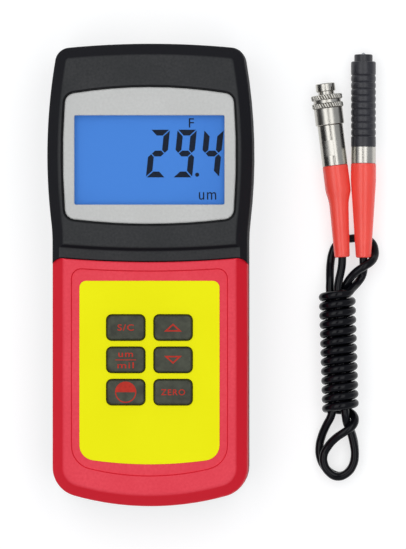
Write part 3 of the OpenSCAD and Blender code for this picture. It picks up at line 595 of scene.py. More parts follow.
def soft_finish(piece, limit):
    """Smooth shading that leaves the flat faces flat, and a mark on the slopes between them, where the
    finishes paint shade.
    """
    bpy.ops.object.select_all(action="DESELECT")
    piece.select_set(True)
    bpy.context.view_layer.objects.active = piece
    even_shading(piece, limit)
    slope = piece.data.attributes.new("slope", "FLOAT", "FACE")
    for face in piece.data.polygons:
        slope.data[face.index].value = min(1.0, max(0.0, (0.95 - face.normal.z) / 0.3))


def front_hollow():
    """The room inside the front, as a cutter."""
    return lofted("hollow", [(case_outline(d), z) for d, z in ((2.35, 17.0), (2.3, 24.2), (4.8, 28.0))])


def below_seam(wide, grow):
    """The outline of all that lies below the seam, grown by an amount."""
    return panel(wide, SEAM_Y, HEEL_Y - 8, -SEAM_R, STRAIGHT, 4.0, 4.0, -grow)


def seam_block(name, levels):
    """The region below the seam, grown by the given amounts at the given heights."""
    return lofted(name, [(below_seam(GRIP_W + 0.8, grow), z) for grow, z in levels])


def box_cutter(wide, high, y, z0, z1):
    """A plain rectangular opening round a middle height, as a cutter."""
    x, low, top = wide / 2, y - high / 2, y + high / 2
    outline = [(-x, top), (x, top), (x, low), (-x, low)]
    return lofted("opening", [(outline, z0), (outline, z1)])


WINDOW_Y, REBATE, OPENING = 39.85, (57.6, 36.5), (55.7, 34.6)
# Panels: width, top, foot, the bow of top and foot, and the corners at top and foot.
BEZEL, BEZEL_SIDE = (60.0, 65.1, 17.7, 167.0, 219.0, 3.5, 3.5), 250.0
SUNK = (53.8, 1.2, -69.5, -SEAM_R, 87.0, 3.2, 8.0)
LABEL = (48.6, -2.0, -65.6, STRAIGHT, 140.0, 2.3, 5.3)
skin = rounded([(0.35, 18.0), (0.0, 18.5), (0.3, 27.0), (4.3, 32.0), (5.15, 32.0)], [0.25, 2.4, 1.6])
head = lofted("front_head", [(case_outline(d), z) for d, z in skin])
carve(head, front_hollow())
seam = ((0.15, 16.0), (0.15, 29.65), (0.22, 29.85), (0.42, 30.0), (1.6, 31.0), (4.0, 34.0))
carve(head, seam_block("seam", seam))
valley = rounded([(2.6, 30.0), (3.7, 30.0), (5.0, 32.0), (6.4, 32.0)], [1.2, 1.4])
valley = valley[1:-1] + [(7.5, 33.0)]
carve(head, lofted("valley", [(below_seam(GRIP_W + 16, grow), z) for grow, z in valley]))
seat = ((0.62, 30.2), (0.62, 31.72), (0.68, 31.9), (0.82, 32.0), (1.4, 33.0))
seat_rings = [(panel(*BEZEL, -grow, BEZEL_SIDE), z) for grow, z in seat]
carve(head, lofted("bezel_seat", seat_rings))
carve(head, box_cutter(*REBATE, WINDOW_Y, 29.2, 33.0))
carve(head, box_cutter(*OPENING, WINDOW_Y, 27.0, 33.0))
soft_finish(head, 30)
head.data.materials.append(black_abs)
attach(head, "handset")
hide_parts("front_case")

# The red lower front: satin red ABS, bevelled like the head, with a sunk panel for the label and
# an opening for each key. It meets the head along the bowed seam.
KEY_W, KEY_H, KEY_TOP, KEY_FOOT = 13.4, 8.95, 31.8, 20.9
KEYS_Y, KEY_DX, KEY_DY = -29.4, 16.4, 11.2
KEY_GAP, HOLE_R, HOLE_LOW, HOLE_TOP = 0.17, 2.05, 26.0, 33.0
# Satin red ABS: a grained flat land, and bevels painted a deeper red as painted shade.
red_abs, tree, shader = new_finish("red_satin_abs")
case_grain(tree, shader, "#e44250", "#ec4d5a", "#d91d2f", 0.1, 0.5)
shader.inputs["IOR"].default_value = 1.53
shader.inputs["Specular IOR Level"].default_value = 0.05
skin = rounded([(0.35, 18.0), (0.0, 18.5), (0.3, 26.0), (4.3, 31.0), (5.6, 31.0)], [0.25, 2.4, 2.0])
cover = lofted("red_grip_cover", [(case_outline(d), z) for d, z in skin])
carve(cover, front_hollow())
seam = ((0.0, 16.0), (0.0, 30.5), (-0.12, 30.8), (-0.42, 31.0), (-2.0, 32.0))
carve(cover, seam_block("seam", seam), "INTERSECT")
sunk = rounded([(1.0, 30.4), (0.0, 30.4), (-0.3, 31.0), (-1.3, 31.0)], [0.25, 0.4])
sunk = sunk[1:-1] + [(-1.5, 32.0)]
sunk_rings = [(panel(*SUNK, d), z) for d, z in sunk]
carve(cover, lofted("sunk_panel", sunk_rings))
key_holes = []
for column in (-1, 1):
    for row in (-1, 0, 1):
        x, y = column * KEY_DX / 2, KEYS_Y + row * KEY_DY
        in_x, in_y = KEY_W / 2 + KEY_GAP - HOLE_R, KEY_H / 2 + KEY_GAP - HOLE_R
        hole = []
        for right, up, start in ((1, 1, 90), (1, -1, 0), (-1, -1, -90), (-1, 1, -180)):
            hole += sweep(Vector((x + right * in_x, y + up * in_y)), HOLE_R, start, start - 90, 6)
        key_holes.append(hole)
        carve(cover, lofted("key_hole", [(hole, HOLE_LOW), (hole, HOLE_TOP)]))
soft_finish(cover, 30)
cover.data.materials.append(red_abs)
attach(cover, "handset")
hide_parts("grip_cover")

# The bezel: a grey satin ABS frame let into the head, its outer edge well rounded and the edge
# of the window softened.
FACE_Z, WINDOW_X, WINDOW_LOW, WINDOW_TOP = 31.85, 26.5, 24.0, 55.8


def bezel_edges(a, b):
    """The share of rounding: none below the face, half round the window, all round the outside."""
    if min(a.z, b.z) < FACE_Z:
        return 0.0
    return 0.5 if abs(a.x) < WINDOW_X and WINDOW_LOW < a.y < WINDOW_TOP else 1.0


# Satin grey ABS: a fine even grain that gives a soft sheen.
grey_abs, tree, shader = new_finish("grey_satin_abs")
case_grain(tree, shader, "#bdbdba", "#c6c6c3", "#c0c0bd", 0.05, 0.41)
bezel = moulded("display_bezel", "grey_bezel", "handset", 0.7, bezel_edges, 4)
bezel.data.materials.append(grey_abs)


# The display: a blue backlit liquid crystal glass, held by a tray on the board, and over it a clear
# acrylic lens that lies in the head's rebate under the bezel.
def dress(finish, *nodes):
    """Gives CAD nodes that show as they are their finish."""
    for node in nodes:
        frame["nodes"][node].data.materials.clear()
        frame["nodes"][node].data.materials.append(finish)


# Lit glass: it glows evenly and falls off a little towards its edges, as an edge-lit panel does.
lit_blue, tree, shader = new_finish("backlit_lcd_glass")
place = add_node(tree, "ShaderNodeTexCoord")
centred = add_node(
    tree, "ShaderNodeMapping",
    [("Vector", place.outputs["Object"]), ("Location", (0.1, -1.0, 0)), ("Scale", (22.0, 25.0, 0.0))],
)
fall = add_node(
    tree, "ShaderNodeTexGradient", [("Vector", centred.outputs["Vector"])], gradient_type="SPHERICAL",
)
glow = add_node(tree, "ShaderNodeValToRGB", [("Fac", fall.outputs["Fac"])])
glow.color_ramp.elements[0].color = from_hex("#4079cc")
glow.color_ramp.elements[1].position = 0.6
glow.color_ramp.elements[1].color = from_hex("#4884d8")
tree.links.new(glow.outputs["Color"], shader.inputs["Base Color"])
tree.links.new(glow.outputs["Color"], shader.inputs["Emission Color"])
shader.inputs["Emission Strength"].default_value = 0.36
shader.inputs["Roughness"].default_value = 0.3
shader.inputs["Specular IOR Level"].default_value = 0.1
dress(lit_blue, "lcd_glass")

# Hard-coated acrylic: clear and glossy, with faint smears from wiping.
acrylic, tree, shader = new_finish("clear_acrylic_lens")
place = add_node(tree, "ShaderNodeTexCoord")
smear = add_node(
    tree, "ShaderNodeTexNoise",
    [("Vector", place.outputs["Object"]), ("Scale", scale_of(11.1)), ("Detail", 4.0)],
)
clear = add_node(
    tree, "ShaderNodeMapRange", [("Value", smear.outputs["Fac"]), ("To Min", 0.05), ("To Max", 0.12)],
)
tree.links.new(clear.outputs["Result"], shader.inputs["Roughness"])
shader.inputs["Base Color"].default_value = from_hex("#0a0d12")
shader.inputs["Alpha"].default_value = 0.08
shader.inputs["IOR"].default_value = 1.49
dress(acrylic, "display_lens")


# The reading: dark liquid crystal segments behind the lens, leaning a little to the right, with
# the unit and the metal letter in small plain signs.
def flat_piece(name, outlines, z, thick, finish, body):
    """Thin plates cut to outlines in millimetres on height z; those that meet become one skin."""
    plates = []
    for outline in outlines:
        bpy.ops.object.select_all(action="DESELECT")
        bpy.ops.mesh.primitive_circle_add(vertices=len(outline), radius=MM, fill_type="NGON")
        plate = bpy.context.object
        for vert, (x, y) in zip(plate.data.vertices, outline):
            vert.co = (x * MM, y * MM, z * MM)
        bpy.ops.object.mode_set(mode="EDIT")
        bpy.ops.mesh.select_all(action="SELECT")
        bpy.ops.mesh.extrude_region_move(TRANSFORM_OT_translate={"value": (0, 0, thick * MM)})
        bpy.ops.mesh.select_all(action="SELECT")
        bpy.ops.mesh.normals_make_consistent(inside=False)
        bpy.ops.object.mode_set(mode="OBJECT")
        plates.append(plate)
    bpy.ops.object.select_all(action="DESELECT")
    for plate in plates:
        plate.select_set(True)
    piece = bpy.context.view_layer.objects.active = plates[0]
    if len(plates) > 1:
        bpy.ops.object.join()
        bpy.ops.object.mode_set(mode="EDIT")
        bpy.ops.mesh.select_all(action="SELECT")
        bpy.ops.mesh.remove_doubles(threshold=0.001 * MM)
        bpy.ops.mesh.select_mode(type="FACE")
        bpy.ops.mesh.select_all(action="DESELECT")
        bpy.ops.mesh.select_interior_faces()
        bpy.ops.mesh.delete(type="FACE")
        bpy.ops.object.mode_set(mode="OBJECT")
    piece.name = piece.data.name = name
    piece.data.materials.clear()
    piece.data.materials.append(finish)
    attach(piece, body)
    return piece


def written(name, words, width, height, middle, z, thick, finish, body, bold=0.0):
    """Plain lettering fitted to a width and height in millimetres, as a thin plate."""
    bpy.ops.object.select_all(action="DESELECT")
    bpy.ops.object.text_add(location=(0, 0, 0))
    piece = bpy.context.object
    piece.data.body = words
    piece.data.extrude = 0.02
    piece.data.offset = bold
    piece.data.space_character = 1.15
    piece.data.resolution_u = 4
    bpy.ops.object.convert(target="MESH")
    piece = bpy.context.object
    piece.name = piece.data.name = name
    spots = [v.co for v in piece.data.vertices]
    low = Vector([min(s[i] for s in spots) for i in range(3)])
    high = Vector([max(s[i] for s in spots) for i in range(3)])
    size = high - low
    fit = Matrix.Diagonal((width * MM / size.x, height * MM / size.y, thick * MM / size.z, 1))
    centre = Vector(((low.x + high.x) / 2, (low.y + high.y) / 2, low.z))
    spot = Matrix.Translation(Vector((middle[0], middle[1], z)) * MM)
    piece.data.transform(spot @ fit @ Matrix.Translation(-centre))
    piece.data.materials.clear()
    piece.data.materials.append(finish)
    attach(piece, body)
    return piece


# Liquid crystal between polarisers: a dull blue black, a little uneven.
crystal, tree, shader = new_finish("dark_liquid_crystal")
mottled(tree, shader, 3.33, "#1a2335", "#222d40")
shader.inputs["Roughness"].default_value = 0.5
shader.inputs["Specular IOR Level"].default_value = 0.1

DIGIT_W, DIGIT_H, BAR, SPLIT, CUT, SLANT = 6.66, 16.5, 2.0, 0.25, 0.3, 0.1
READING_Y, READING_Z, READING_T, DOT_R = 33.85, 29.02, 0.08, 0.7
mid, right, inner_top = DIGIT_H / 2, DIGIT_W - CUT, DIGIT_H - BAR
point, end = BAR / 2 + SPLIT, BAR + SPLIT
upper_left = [
    (0, DIGIT_H - CUT), (BAR, inner_top - CUT), (BAR, mid + point), (BAR / 2, mid + SPLIT),
    (0, mid + point),
]
left_half = [(end, mid - BAR / 2), (point, mid), (end, mid + BAR / 2)]
bars = {
    "top": [(CUT, DIGIT_H), (right, DIGIT_H), (right - BAR, inner_top), (CUT + BAR, inner_top)],
    "middle": left_half + [(DIGIT_W - x, y) for x, y in reversed(left_half)],
    "upper_left": upper_left,
    "upper_right": [(DIGIT_W - x, y) for x, y in upper_left],
    "lower_left": [(x, DIGIT_H - y) for x, y in upper_left],
    "lower_right": [(DIGIT_W - x, DIGIT_H - y) for x, y in upper_left],
}
bars["low"] = [(x, DIGIT_H - y) for x, y in bars["top"]]
two = ("top", "upper_right", "middle", "lower_left", "low")
nine = ("top", "upper_left", "upper_right", "middle", "lower_right", "low")
four = ("upper_left", "upper_right", "middle", "lower_right")
shown = []
for x0, lit in ((-1.26, two), (8.07, nine), (17.4, four)):
    for bar in lit:
        shown.append([(x0 + x + SLANT * y, READING_Y + y) for x, y in bars[bar]])
dot = [math.radians(a) for a in range(0, 360, 18)]
shown.append([(16.5 + DOT_R * math.cos(a), 34.75 + DOT_R * math.sin(a)) for a in dot])
flat_piece("reading_digits", shown, READING_Z, READING_T, crystal, "handset")
for name, sign, wide, high, middle in (
    ("reading_metal_sign", "F", 1.75, 3.2, (14.5, 52.7)),
    ("reading_unit_sign", "um", 6.0, 2.66, (20.1, 27.4)),
):
    written(name, sign, wide, high, middle, READING_Z, READING_T, crystal, "handset")

# The keypad label: a yellow polyester film printed from behind, stuck into the sunk panel and
# cut out round each key. Its upper and lower fields are plain.
# Velvet-faced polyester: flat bright yellow with a fine tooth, drawn at 0.625 mm so that it shows.
film, tree, shader = new_finish("yellow_polyester_film")
mottled(tree, shader, 25, "#eee900", "#f6f40c", 4.0)
place = add_node(tree, "ShaderNodeTexCoord")
velvet = add_node(
    tree, "ShaderNodeTexNoise", [("Vector", place.outputs["Object"]), ("Scale", scale_of(0.625))],
)
tooth = add_node(
    tree, "ShaderNodeBump", [("Height", velvet.outputs["Fac"]), ("Strength", 0.05), ("Distance", 0.0001)],
)
tree.links.new(tooth.outputs["Normal"], shader.inputs["Normal"])
shader.inputs["Roughness"].default_value = 0.5
shader.inputs["Specular IOR Level"].default_value = 0.08
edge = ((0.0, 30.4), (0.0, 30.6), (0.04, 30.67), (0.12, 30.7))
label_rings = [(panel(*LABEL, d), z) for d, z in edge]
label = lofted("keypad_film", label_rings)
for hole in key_holes:
    carve(label, lofted("key_hole", [(hole, HOLE_LOW), (hole, HOLE_TOP)]))
soft_finish(label, 30)
label.data.materials.append(film)
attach(label, "handset")
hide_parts("keypad_label")

# The six keys: moulded silicone rubber, dark olive grey with a dull bloom, rounded on all upper
# edges. Each has its foot flange and contact pill below, which the cover hides.
# Silicone rubber: a dull bloom all over, and painted shade, darker, where the edges turn away.
silicone, tree, shader = new_finish("olive_silicone_rubber")
place = add_node(tree, "ShaderNodeTexCoord")
bloom = add_node(
    tree, "ShaderNodeTexNoise",
    [("Vector", place.outputs["Object"]), ("Scale", scale_of(3.03)), ("Detail", 5.0)],
)
shade = add_node(tree, "ShaderNodeValToRGB", [("Fac", bloom.outputs["Fac"])])
shade.color_ramp.elements[0].position = 0.3
shade.color_ramp.elements[0].color = from_hex("#2f3127")
shade.color_ramp.elements[1].position = 0.72
shade.color_ramp.elements[1].color = from_hex("#484b3d")
# The slope mark mixes in a near black: painted shade on the keys' rounded edges.
slope = add_node(tree, "ShaderNodeAttribute", attribute_name="slope")
slope_shade_mix = add_node(
    tree, "ShaderNodeMix",
    [(0, slope.outputs["Fac"]), (6, shade.outputs["Color"]), (7, from_hex("#15160f"))], data_type="RGBA",
)
tree.links.new(slope_shade_mix.outputs[2], shader.inputs["Base Color"])
skin = add_node(
    tree, "ShaderNodeBump", [("Height", bloom.outputs["Fac"]), ("Strength", 0.15), ("Distance", 0.0002)],
)
tree.links.new(skin.outputs["Normal"], shader.inputs["Normal"])
shader.inputs["Roughness"].default_value = 0.6
shader.inputs["IOR"].default_value = 1.41

# Screen ink: a dull red film, worn a little unevenly.
red_ink, tree, shader = new_finish("red_screen_ink")
mottled(tree, shader, 1.11, "#98241a", "#cf3526", 3.0)
shader.inputs["Roughness"].default_value = 0.5
shader.inputs["Specular IOR Level"].default_value = 0.15

FLANGE, PILL_R, PILL_H, PILL_Z = 1.4, 2.4, 1.7, 20.45


def rubber_key(node, name, body, column, row):
    """A key: a block with rounded corners and top edge, on a flange and a pill."""
    x, y = column * KEY_DX / 2, KEYS_Y + row * KEY_DY
    parts = []
    for wide, high, low, top, corner, brim in (
        (KEY_W, KEY_H, KEY_FOOT + 0.5, KEY_TOP, 1.9, 1.0),
        (KEY_W + FLANGE, KEY_H + FLANGE, KEY_FOOT, KEY_FOOT + 1.0, 2.4, 0.0),
    ):
        bpy.ops.object.select_all(action="DESELECT")
        bpy.ops.mesh.primitive_cube_add(size=1.0)
        block = bpy.context.object
        spot = Matrix.Translation(Vector((x, y, (low + top) / 2)) * MM)
        block.data.transform(spot @ Matrix.Diagonal((wide * MM, high * MM, (top - low) * MM, 1)))
        bpy.ops.object.mode_set(mode="EDIT")
        bpy.ops.mesh.select_mode(type="EDGE")
        bpy.ops.mesh.select_all(action="DESELECT")
        bpy.ops.object.mode_set(mode="OBJECT")
        for edge in block.data.edges:
            a, b = (block.data.vertices[i].co for i in edge.vertices)
            edge.select = abs(a.z - b.z) > 0.5 * MM
        bpy.ops.object.mode_set(mode="EDIT")
        bpy.ops.mesh.bevel(offset=corner * MM, segments=7, affect="EDGES")
        bpy.ops.mesh.select_all(action="DESELECT")
        bpy.ops.object.mode_set(mode="OBJECT")
        if brim:
            for edge in block.data.edges:
                a, b = (block.data.vertices[i].co for i in edge.vertices)
                edge.select = min(a.z, b.z) > (top - 0.01) * MM
            bpy.ops.object.mode_set(mode="EDIT")
            bpy.ops.mesh.bevel(offset=brim * MM, segments=5, affect="EDGES")
            bpy.ops.object.mode_set(mode="OBJECT")
        parts.append(block)
    bpy.ops.object.select_all(action="DESELECT")
    bpy.ops.mesh.primitive_cylinder_add(
        vertices=40, radius=PILL_R * MM, depth=PILL_H * MM, location=(0, 0, 0),
    )
    pill = bpy.context.object
    pill.data.transform(Matrix.Translation(Vector((x, y, PILL_Z)) * MM))
    parts.append(pill)
    for part in parts:
        part.select_set(True)
    bpy.context.view_layer.objects.active = parts[0]
    bpy.ops.object.join()
    key = parts[0]
    key.name = key.data.name = name
    soft_finish(key, 32)
    key.data.materials.clear()
    key.data.materials.append(silicone)
    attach(key, body)
    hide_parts(node)
    return x, y


INK_Z, INK, BOLD = KEY_TOP - 0.01, 0.05, 0.012
x, y = rubber_key("key_scale", "rubber_key_scale", "scale_key", -1, 1)
written("legend_scale", "S/C", 5.7, 2.2, (x, y), INK_Z, INK, red_ink, "scale_key", BOLD)


def triangle_sign(name, x, y, up, body):
    """An open triangle of 6.2 by 2.8 mm drawn with a 0.5 mm line."""
    s = 1 if up else -1
    a, b, c = (-3.1, -1.4 * s), (3.1, -1.4 * s), (0.0, 1.4 * s)
    d, e, f = (-1.75, -0.88 * s), (1.75, -0.88 * s), (0.0, 0.72 * s)
    corners = [(a, b, e, d), (b, c, f, e), (c, a, d, f)]
    return flat_piece(name, [[(x + p, y + q) for p, q in bar] for bar in corners], INK_Z, INK, red_ink, body)


x, y = rubber_key("key_up", "rubber_key_up", "up_key", 1, 1)
triangle_sign("legend_up", x, y, True, "up_key")
x, y = rubber_key("key_units", "rubber_key_units", "units_key", -1, 0)
written("legend_um", "um", 5.1, 1.5, (x, y + 1.75), INK_Z, INK, red_ink, "units_key", BOLD)
written("legend_mil", "mil", 5.7, 2.1, (x, y - 1.85), INK_Z, INK, red_ink, "units_key", BOLD)
rule = [(x - 3.6, y - 0.14), (x + 3.6, y - 0.14), (x + 3.6, y + 0.14), (x - 3.6, y + 0.14)]
flat_piece("legend_units_bar", [rule], INK_Z, INK, red_ink, "units_key")
x, y = rubber_key("key_down", "rubber_key_down", "down_key", 1, 0)
triangle_sign("legend_down", x, y, False, "down_key")
x, y = rubber_key("key_power", "rubber_key_power", "power_key", -1, -1)
arc = [(math.cos(math.radians(a)), math.sin(math.radians(a))) for a in range(0, 181, 6)]
DISC_R, DISC_IN = 3.7, 3.3
full = [(x + DISC_R * p, y + DISC_R * q) for p, q in arc] + [(x - DISC_IN, y), (x + DISC_IN, y)]
half_ring = [(x + DISC_R * p, y - DISC_R * q) for p, q in arc]
half_ring += [(x + DISC_IN * p, y - DISC_IN * q) for p, q in reversed(arc)]
flat_piece("legend_power", [full, half_ring], INK_Z, INK, red_ink, "power_key")
x, y = rubber_key("key_zero", "rubber_key_zero", "zero_key", 1, -1)
written("legend_zero", "ZERO", 8.4, 2.1, (x, y), INK_Z, INK, red_ink, "zero_key", BOLD)


# The probe: a pen with a red soft PVC boot, a bright nickel ferrule, a ribbed black grip and a
# sprung black sensor sleeve with a hard steel tip. All are turned shapes on one axis.
def turned(name, profile, place, finish, body, around=72):
    """A profile of (radius, along) points in millimetres, spun round the axis and set in place."""
    bpy.ops.object.select_all(action="DESELECT")
    bpy.ops.mesh.primitive_plane_add(size=2 * MM)
    piece = bpy.context.object
    piece.name = piece.data.name = name
    bpy.ops.object.mode_set(mode="EDIT")
    bpy.ops.mesh.select_mode(type="VERT")
    bpy.ops.mesh.select_all(action="DESELECT")
    bpy.ops.object.mode_set(mode="OBJECT")
    for vert in piece.data.vertices:
        vert.select = vert.index != 0
    bpy.ops.object.mode_set(mode="EDIT")
    bpy.ops.mesh.delete(type="VERT")
    bpy.ops.object.mode_set(mode="OBJECT")
    piece.data.vertices[0].co = (profile[0][0] * MM, 0, profile[0][1] * MM)
    piece.data.vertices[0].select = True
    bpy.ops.object.mode_set(mode="EDIT")
    for (r0, s0), (r1, s1) in zip(profile, profile[1:]):
        step = ((r1 - r0) * MM, 0, (s1 - s0) * MM)
        bpy.ops.mesh.extrude_vertices_move(TRANSFORM_OT_translate={"value": step})
    bpy.ops.mesh.select_all(action="SELECT")
    bpy.ops.mesh.spin(steps=around, angle=math.tau, center=(0, 0, 0), axis=(0, 0, 1))
    bpy.ops.mesh.select_all(action="SELECT")
    bpy.ops.mesh.remove_doubles(threshold=0.002 * MM)
    bpy.ops.mesh.normals_make_consistent(inside=False)
    bpy.ops.object.mode_set(mode="OBJECT")
    bpy.ops.object.shade_smooth_by_angle(angle=math.radians(34))
    piece.data.transform(place)
    piece.data.materials.append(finish)
    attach(piece, body)
    return piece


in_probe = Matrix.Translation(PROBE_AT * MM) @ Matrix.Rotation(-math.pi / 2 - PROBE_PITCH, 4, "X")

# Soft PVC, moulded: bright red and glossy, and light goes a little way into it.
soft_red, tree, shader = new_finish("red_soft_pvc")
flow = mottled(tree, shader, 9.1, "#f4463b", "#fd5a4d", 4.0)
skin = add_node(
    tree, "ShaderNodeBump", [("Height", flow.outputs["Fac"]), ("Strength", 0.12), ("Distance", 0.0004)],
)
tree.links.new(skin.outputs["Normal"], shader.inputs["Normal"])
shader.inputs["Roughness"].default_value = 0.27
shader.inputs["IOR"].default_value = 1.53
shader.inputs["Specular IOR Level"].default_value = 0.45
shader.inputs["Subsurface Weight"].default_value = 0.08
shader.inputs["Subsurface Radius"].default_value = (0.002, 0.0006, 0.0004)

boot_profile = [
    (1.5, 2.6), (1.5, 0.4), (1.8, 0.05), (2.3, 0.0), (2.62, 0.25), (2.72, 0.7), (3.4, 11.0), (4.1, 22.0),
    (4.3, 25.0), (4.4, 26.8), (4.42, 28.5), (4.42, 32.5), (4.34, 32.85), (4.2, 32.9), (3.4, 32.9),
    (3.4, 28.0), (1.5, 28.0), (1.5, 2.6),
]
boot = turned("probe_red_boot", boot_profile, in_probe, soft_red, "handset")
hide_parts("probe_boot")

# Nickel plate on turned brass: a warm mirror, softened by fine rub marks.
NICKEL_LOW, NICKEL_HIGH = "#b6b3ab", "#cac7c0"
nickel, tree, shader = new_finish("bright_nickel_plate")
rub = mottled(tree, shader, 4.17, NICKEL_LOW, NICKEL_HIGH, 5.0)
sheen = add_node(
    tree, "ShaderNodeMapRange", [("Value", rub.outputs["Fac"]), ("To Min", 0.2), ("To Max", 0.34)],
)
tree.links.new(sheen.outputs["Result"], shader.inputs["Roughness"])
shader.inputs["Metallic"].default_value = 1.0
ferrule_profile = [
    (3.95, 32.95), (4.22, 32.95), (4.34, 33.08), (4.34, 38.66), (4.22, 38.78), (3.95, 38.78), (3.95, 32.95),
]
ferrule = turned("probe_nickel_ferrule", ferrule_profile, in_probe, nickel, "handset")
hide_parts("probe_ferrule")

# Moulded polyamide: black, with a low sheen that picks out the ribs.
grip_plastic, tree, shader = new_finish("black_ribbed_polyamide")
case_grain(tree, shader, "#202026", "#2c2c33", "#202026", 0.1, 0.38)
shader.inputs["Specular IOR Level"].default_value = 0.5
RIBS, RIB_STEPS, RIB_START, RIB_SPAN, RIB_FOOT, RIB_H = 9, 90, 42.6, 21.2, 4.02, 0.34
ribs = [(3.92, 38.9), (4.25, 38.85), (4.35, 38.95), (4.35, 42.2)]
for i in range(RIB_STEPS + 1):
    swell = abs(math.sin(math.pi * RIBS * i / RIB_STEPS)) ** 0.55
    ribs.append((RIB_FOOT + RIB_H * swell, RIB_START + RIB_SPAN * i / RIB_STEPS))
ribs += [
    (4.3, 64.1), (4.35, 64.4), (4.35, 68.0), (4.27, 68.42), (4.05, 68.6), (3.24, 68.6), (3.24, 67.2),
    (3.92, 67.2), (3.92, 38.9),
]
grip = turned("probe_ribbed_grip", ribs, in_probe, grip_plastic, "handset")
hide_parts("probe_grip")

sleeve_profile = [
    (2.5, 59.7), (3.1, 59.6), (3.2, 59.7), (3.2, 70.75), (3.1, 71.0), (2.85, 71.1), (0.72, 71.1),
    (0.72, 70.3), (2.5, 70.3), (2.5, 59.7),
]
sleeve = turned("probe_sensor_sleeve", sleeve_profile, in_probe, grip_plastic, "sensor")
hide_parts("sensor_sleeve")

# The plug: a nickel plated brass sleeve with a milled flat, and a nose with two slits and a round
# lug over the contacts. It is turned in one piece, and the flat and the slits are milled.
along_plug = Matrix.Rotation(PLUG_YAW, 4, "Z") @ Matrix.Rotation(-math.pi / 2 - PLUG_PITCH, 4, "X")
in_plug = Matrix.Translation(PLUG_AT * MM) @ along_plug
plug_profile = [
    (1.6, -6.0), (3.2, -6.0), (3.2, 0.0), (4.3, 0.02), (4.45, 0.15), (4.45, 14.15), (4.3, 14.3),
    (3.15, 14.3), (3.15, 25.05), (2.8, 25.05), (2.8, 26.15), (3.22, 26.15), (3.4, 26.35), (3.4, 28.7),
    (3.2, 28.95), (2.75, 28.95), (2.4, 28.6), (2.4, 16.4), (1.6, 16.4), (1.6, -6.0),
]
plug_body = turned("plug_nickel_body", plug_profile, Matrix.Identity(4), nickel, "handset", 96)
# The flat and the two slits: turn round the axis, width, depth, length, radius of the face, place.
for turn, wide, deep, long, out, along in (
    (-20, 4.0, 0.42, 5.4, 4.45, 6.2),
    (-38, 0.5, 1.0, 2.4, 3.4, 26.35),
    (38, 0.5, 1.0, 2.4, 3.4, 26.35),
):
    bpy.ops.object.select_all(action="DESELECT")
    bpy.ops.mesh.primitive_cube_add(size=1.0)
    cutter = bpy.context.object
    spot = Matrix.Translation(Vector((0, -out - 1.0 + deep, along)) * MM)
    size = Matrix.Diagonal((wide * MM, 2 * MM, long * MM, 1))
    cutter.data.transform(Matrix.Rotation(math.radians(turn), 4, "Z") @ spot @ size)
    carve(plug_body, cutter)
LUG_R, LUG_H, LUG_EDGE, LUG_AT = 0.85, 1.2, 0.12, Vector((0, -3.15, 27.6))
bpy.ops.object.select_all(action="DESELECT")
bpy.ops.mesh.primitive_cylinder_add(vertices=32, radius=LUG_R * MM, depth=LUG_H * MM)
lug = bpy.context.object
bpy.ops.object.mode_set(mode="EDIT")
bpy.ops.mesh.select_all(action="SELECT")
bpy.ops.mesh.bevel(offset=LUG_EDGE * MM, segments=2, affect="EDGES")
bpy.ops.object.mode_set(mode="OBJECT")
lug.data.transform(Matrix.Translation(LUG_AT * MM) @ Matrix.Rotation(math.pi / 2, 4, "X"))
lug.data.materials.append(nickel)
plug_body.select_set(True)
bpy.context.view_layer.objects.active = plug_body
bpy.ops.object.join()
bpy.ops.object.shade_smooth_by_angle(angle=math.radians(34))
plug_body.data.transform(in_plug)
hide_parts("plug_body")

# The coupling ring: a turned nickel collar with two knurled bands. The teeth are rolled in at a slant
# and broken at both ends, and the valleys between them are painted darker, as painted shade.
ring_profile = [
    (3.2, 14.4), (4.85, 14.4), (5.0, 14.55), (5.0, 20.15), (4.8, 20.3), (4.8, 24.95), (3.2, 24.95),
    (3.2, 14.4),
]
ring_piece = turned("plug_knurled_ring", ring_profile, Matrix.Identity(4), nickel, "ring", 96)
TEETH, BAND_R, TOOTH_R, TOOTH = 34, 5.15, 5.45, (4.84, 5.08, 5.15, 5.08)
rims = []
for foot in (20.3, 23.15):
    bpy.ops.object.select_all(action="DESELECT")
    bpy.ops.mesh.primitive_circle_add(vertices=TEETH * 4, radius=BAND_R * MM, fill_type="NGON")
    band = bpy.context.object
    for vert in band.data.vertices:
        vert.co = vert.co * (TOOTH[vert.index % 4] / BAND_R) + Vector((0, 0, foot * MM))
    bpy.ops.object.mode_set(mode="EDIT")
    bpy.ops.mesh.select_all(action="SELECT")
    for rise, grow, slant in ((0.25, TOOTH_R / BAND_R, 1.1), (1.3, 1.0, 5.6), (0.25, BAND_R / TOOTH_R, 1.1)):
        bpy.ops.mesh.extrude_region_move(TRANSFORM_OT_translate={"value": (0, 0, rise * MM)})
        bpy.ops.transform.resize(value=(grow, grow, 1), center_override=(0, 0, 0))
        bpy.ops.transform.rotate(value=math.radians(slant), orient_axis="Z", center_override=(0, 0, 0))
    bpy.ops.mesh.select_all(action="SELECT")
    bpy.ops.mesh.normals_make_consistent(inside=False)
    bpy.ops.object.mode_set(mode="OBJECT")
    valley = band.data.attributes.new("valley", "FLOAT", "POINT")
    for vert in band.data.vertices:
        level = [v.co for v in band.data.vertices if abs(v.co.z - vert.co.z) < 0.05 * MM]
        crest = max(co.xy.length for co in level)
        valley.data[vert.index].value = 1.0 if vert.co.xy.length < 0.96 * crest else 0.0
    rims.append(band)
bpy.ops.object.select_all(action="DESELECT")
for part in rims + [ring_piece]:
    part.select_set(True)
bpy.context.view_layer.objects.active = ring_piece
bpy.ops.object.join()
bpy.ops.object.shade_smooth_by_angle(angle=math.radians(22))
ring_piece.data.transform(in_plug)
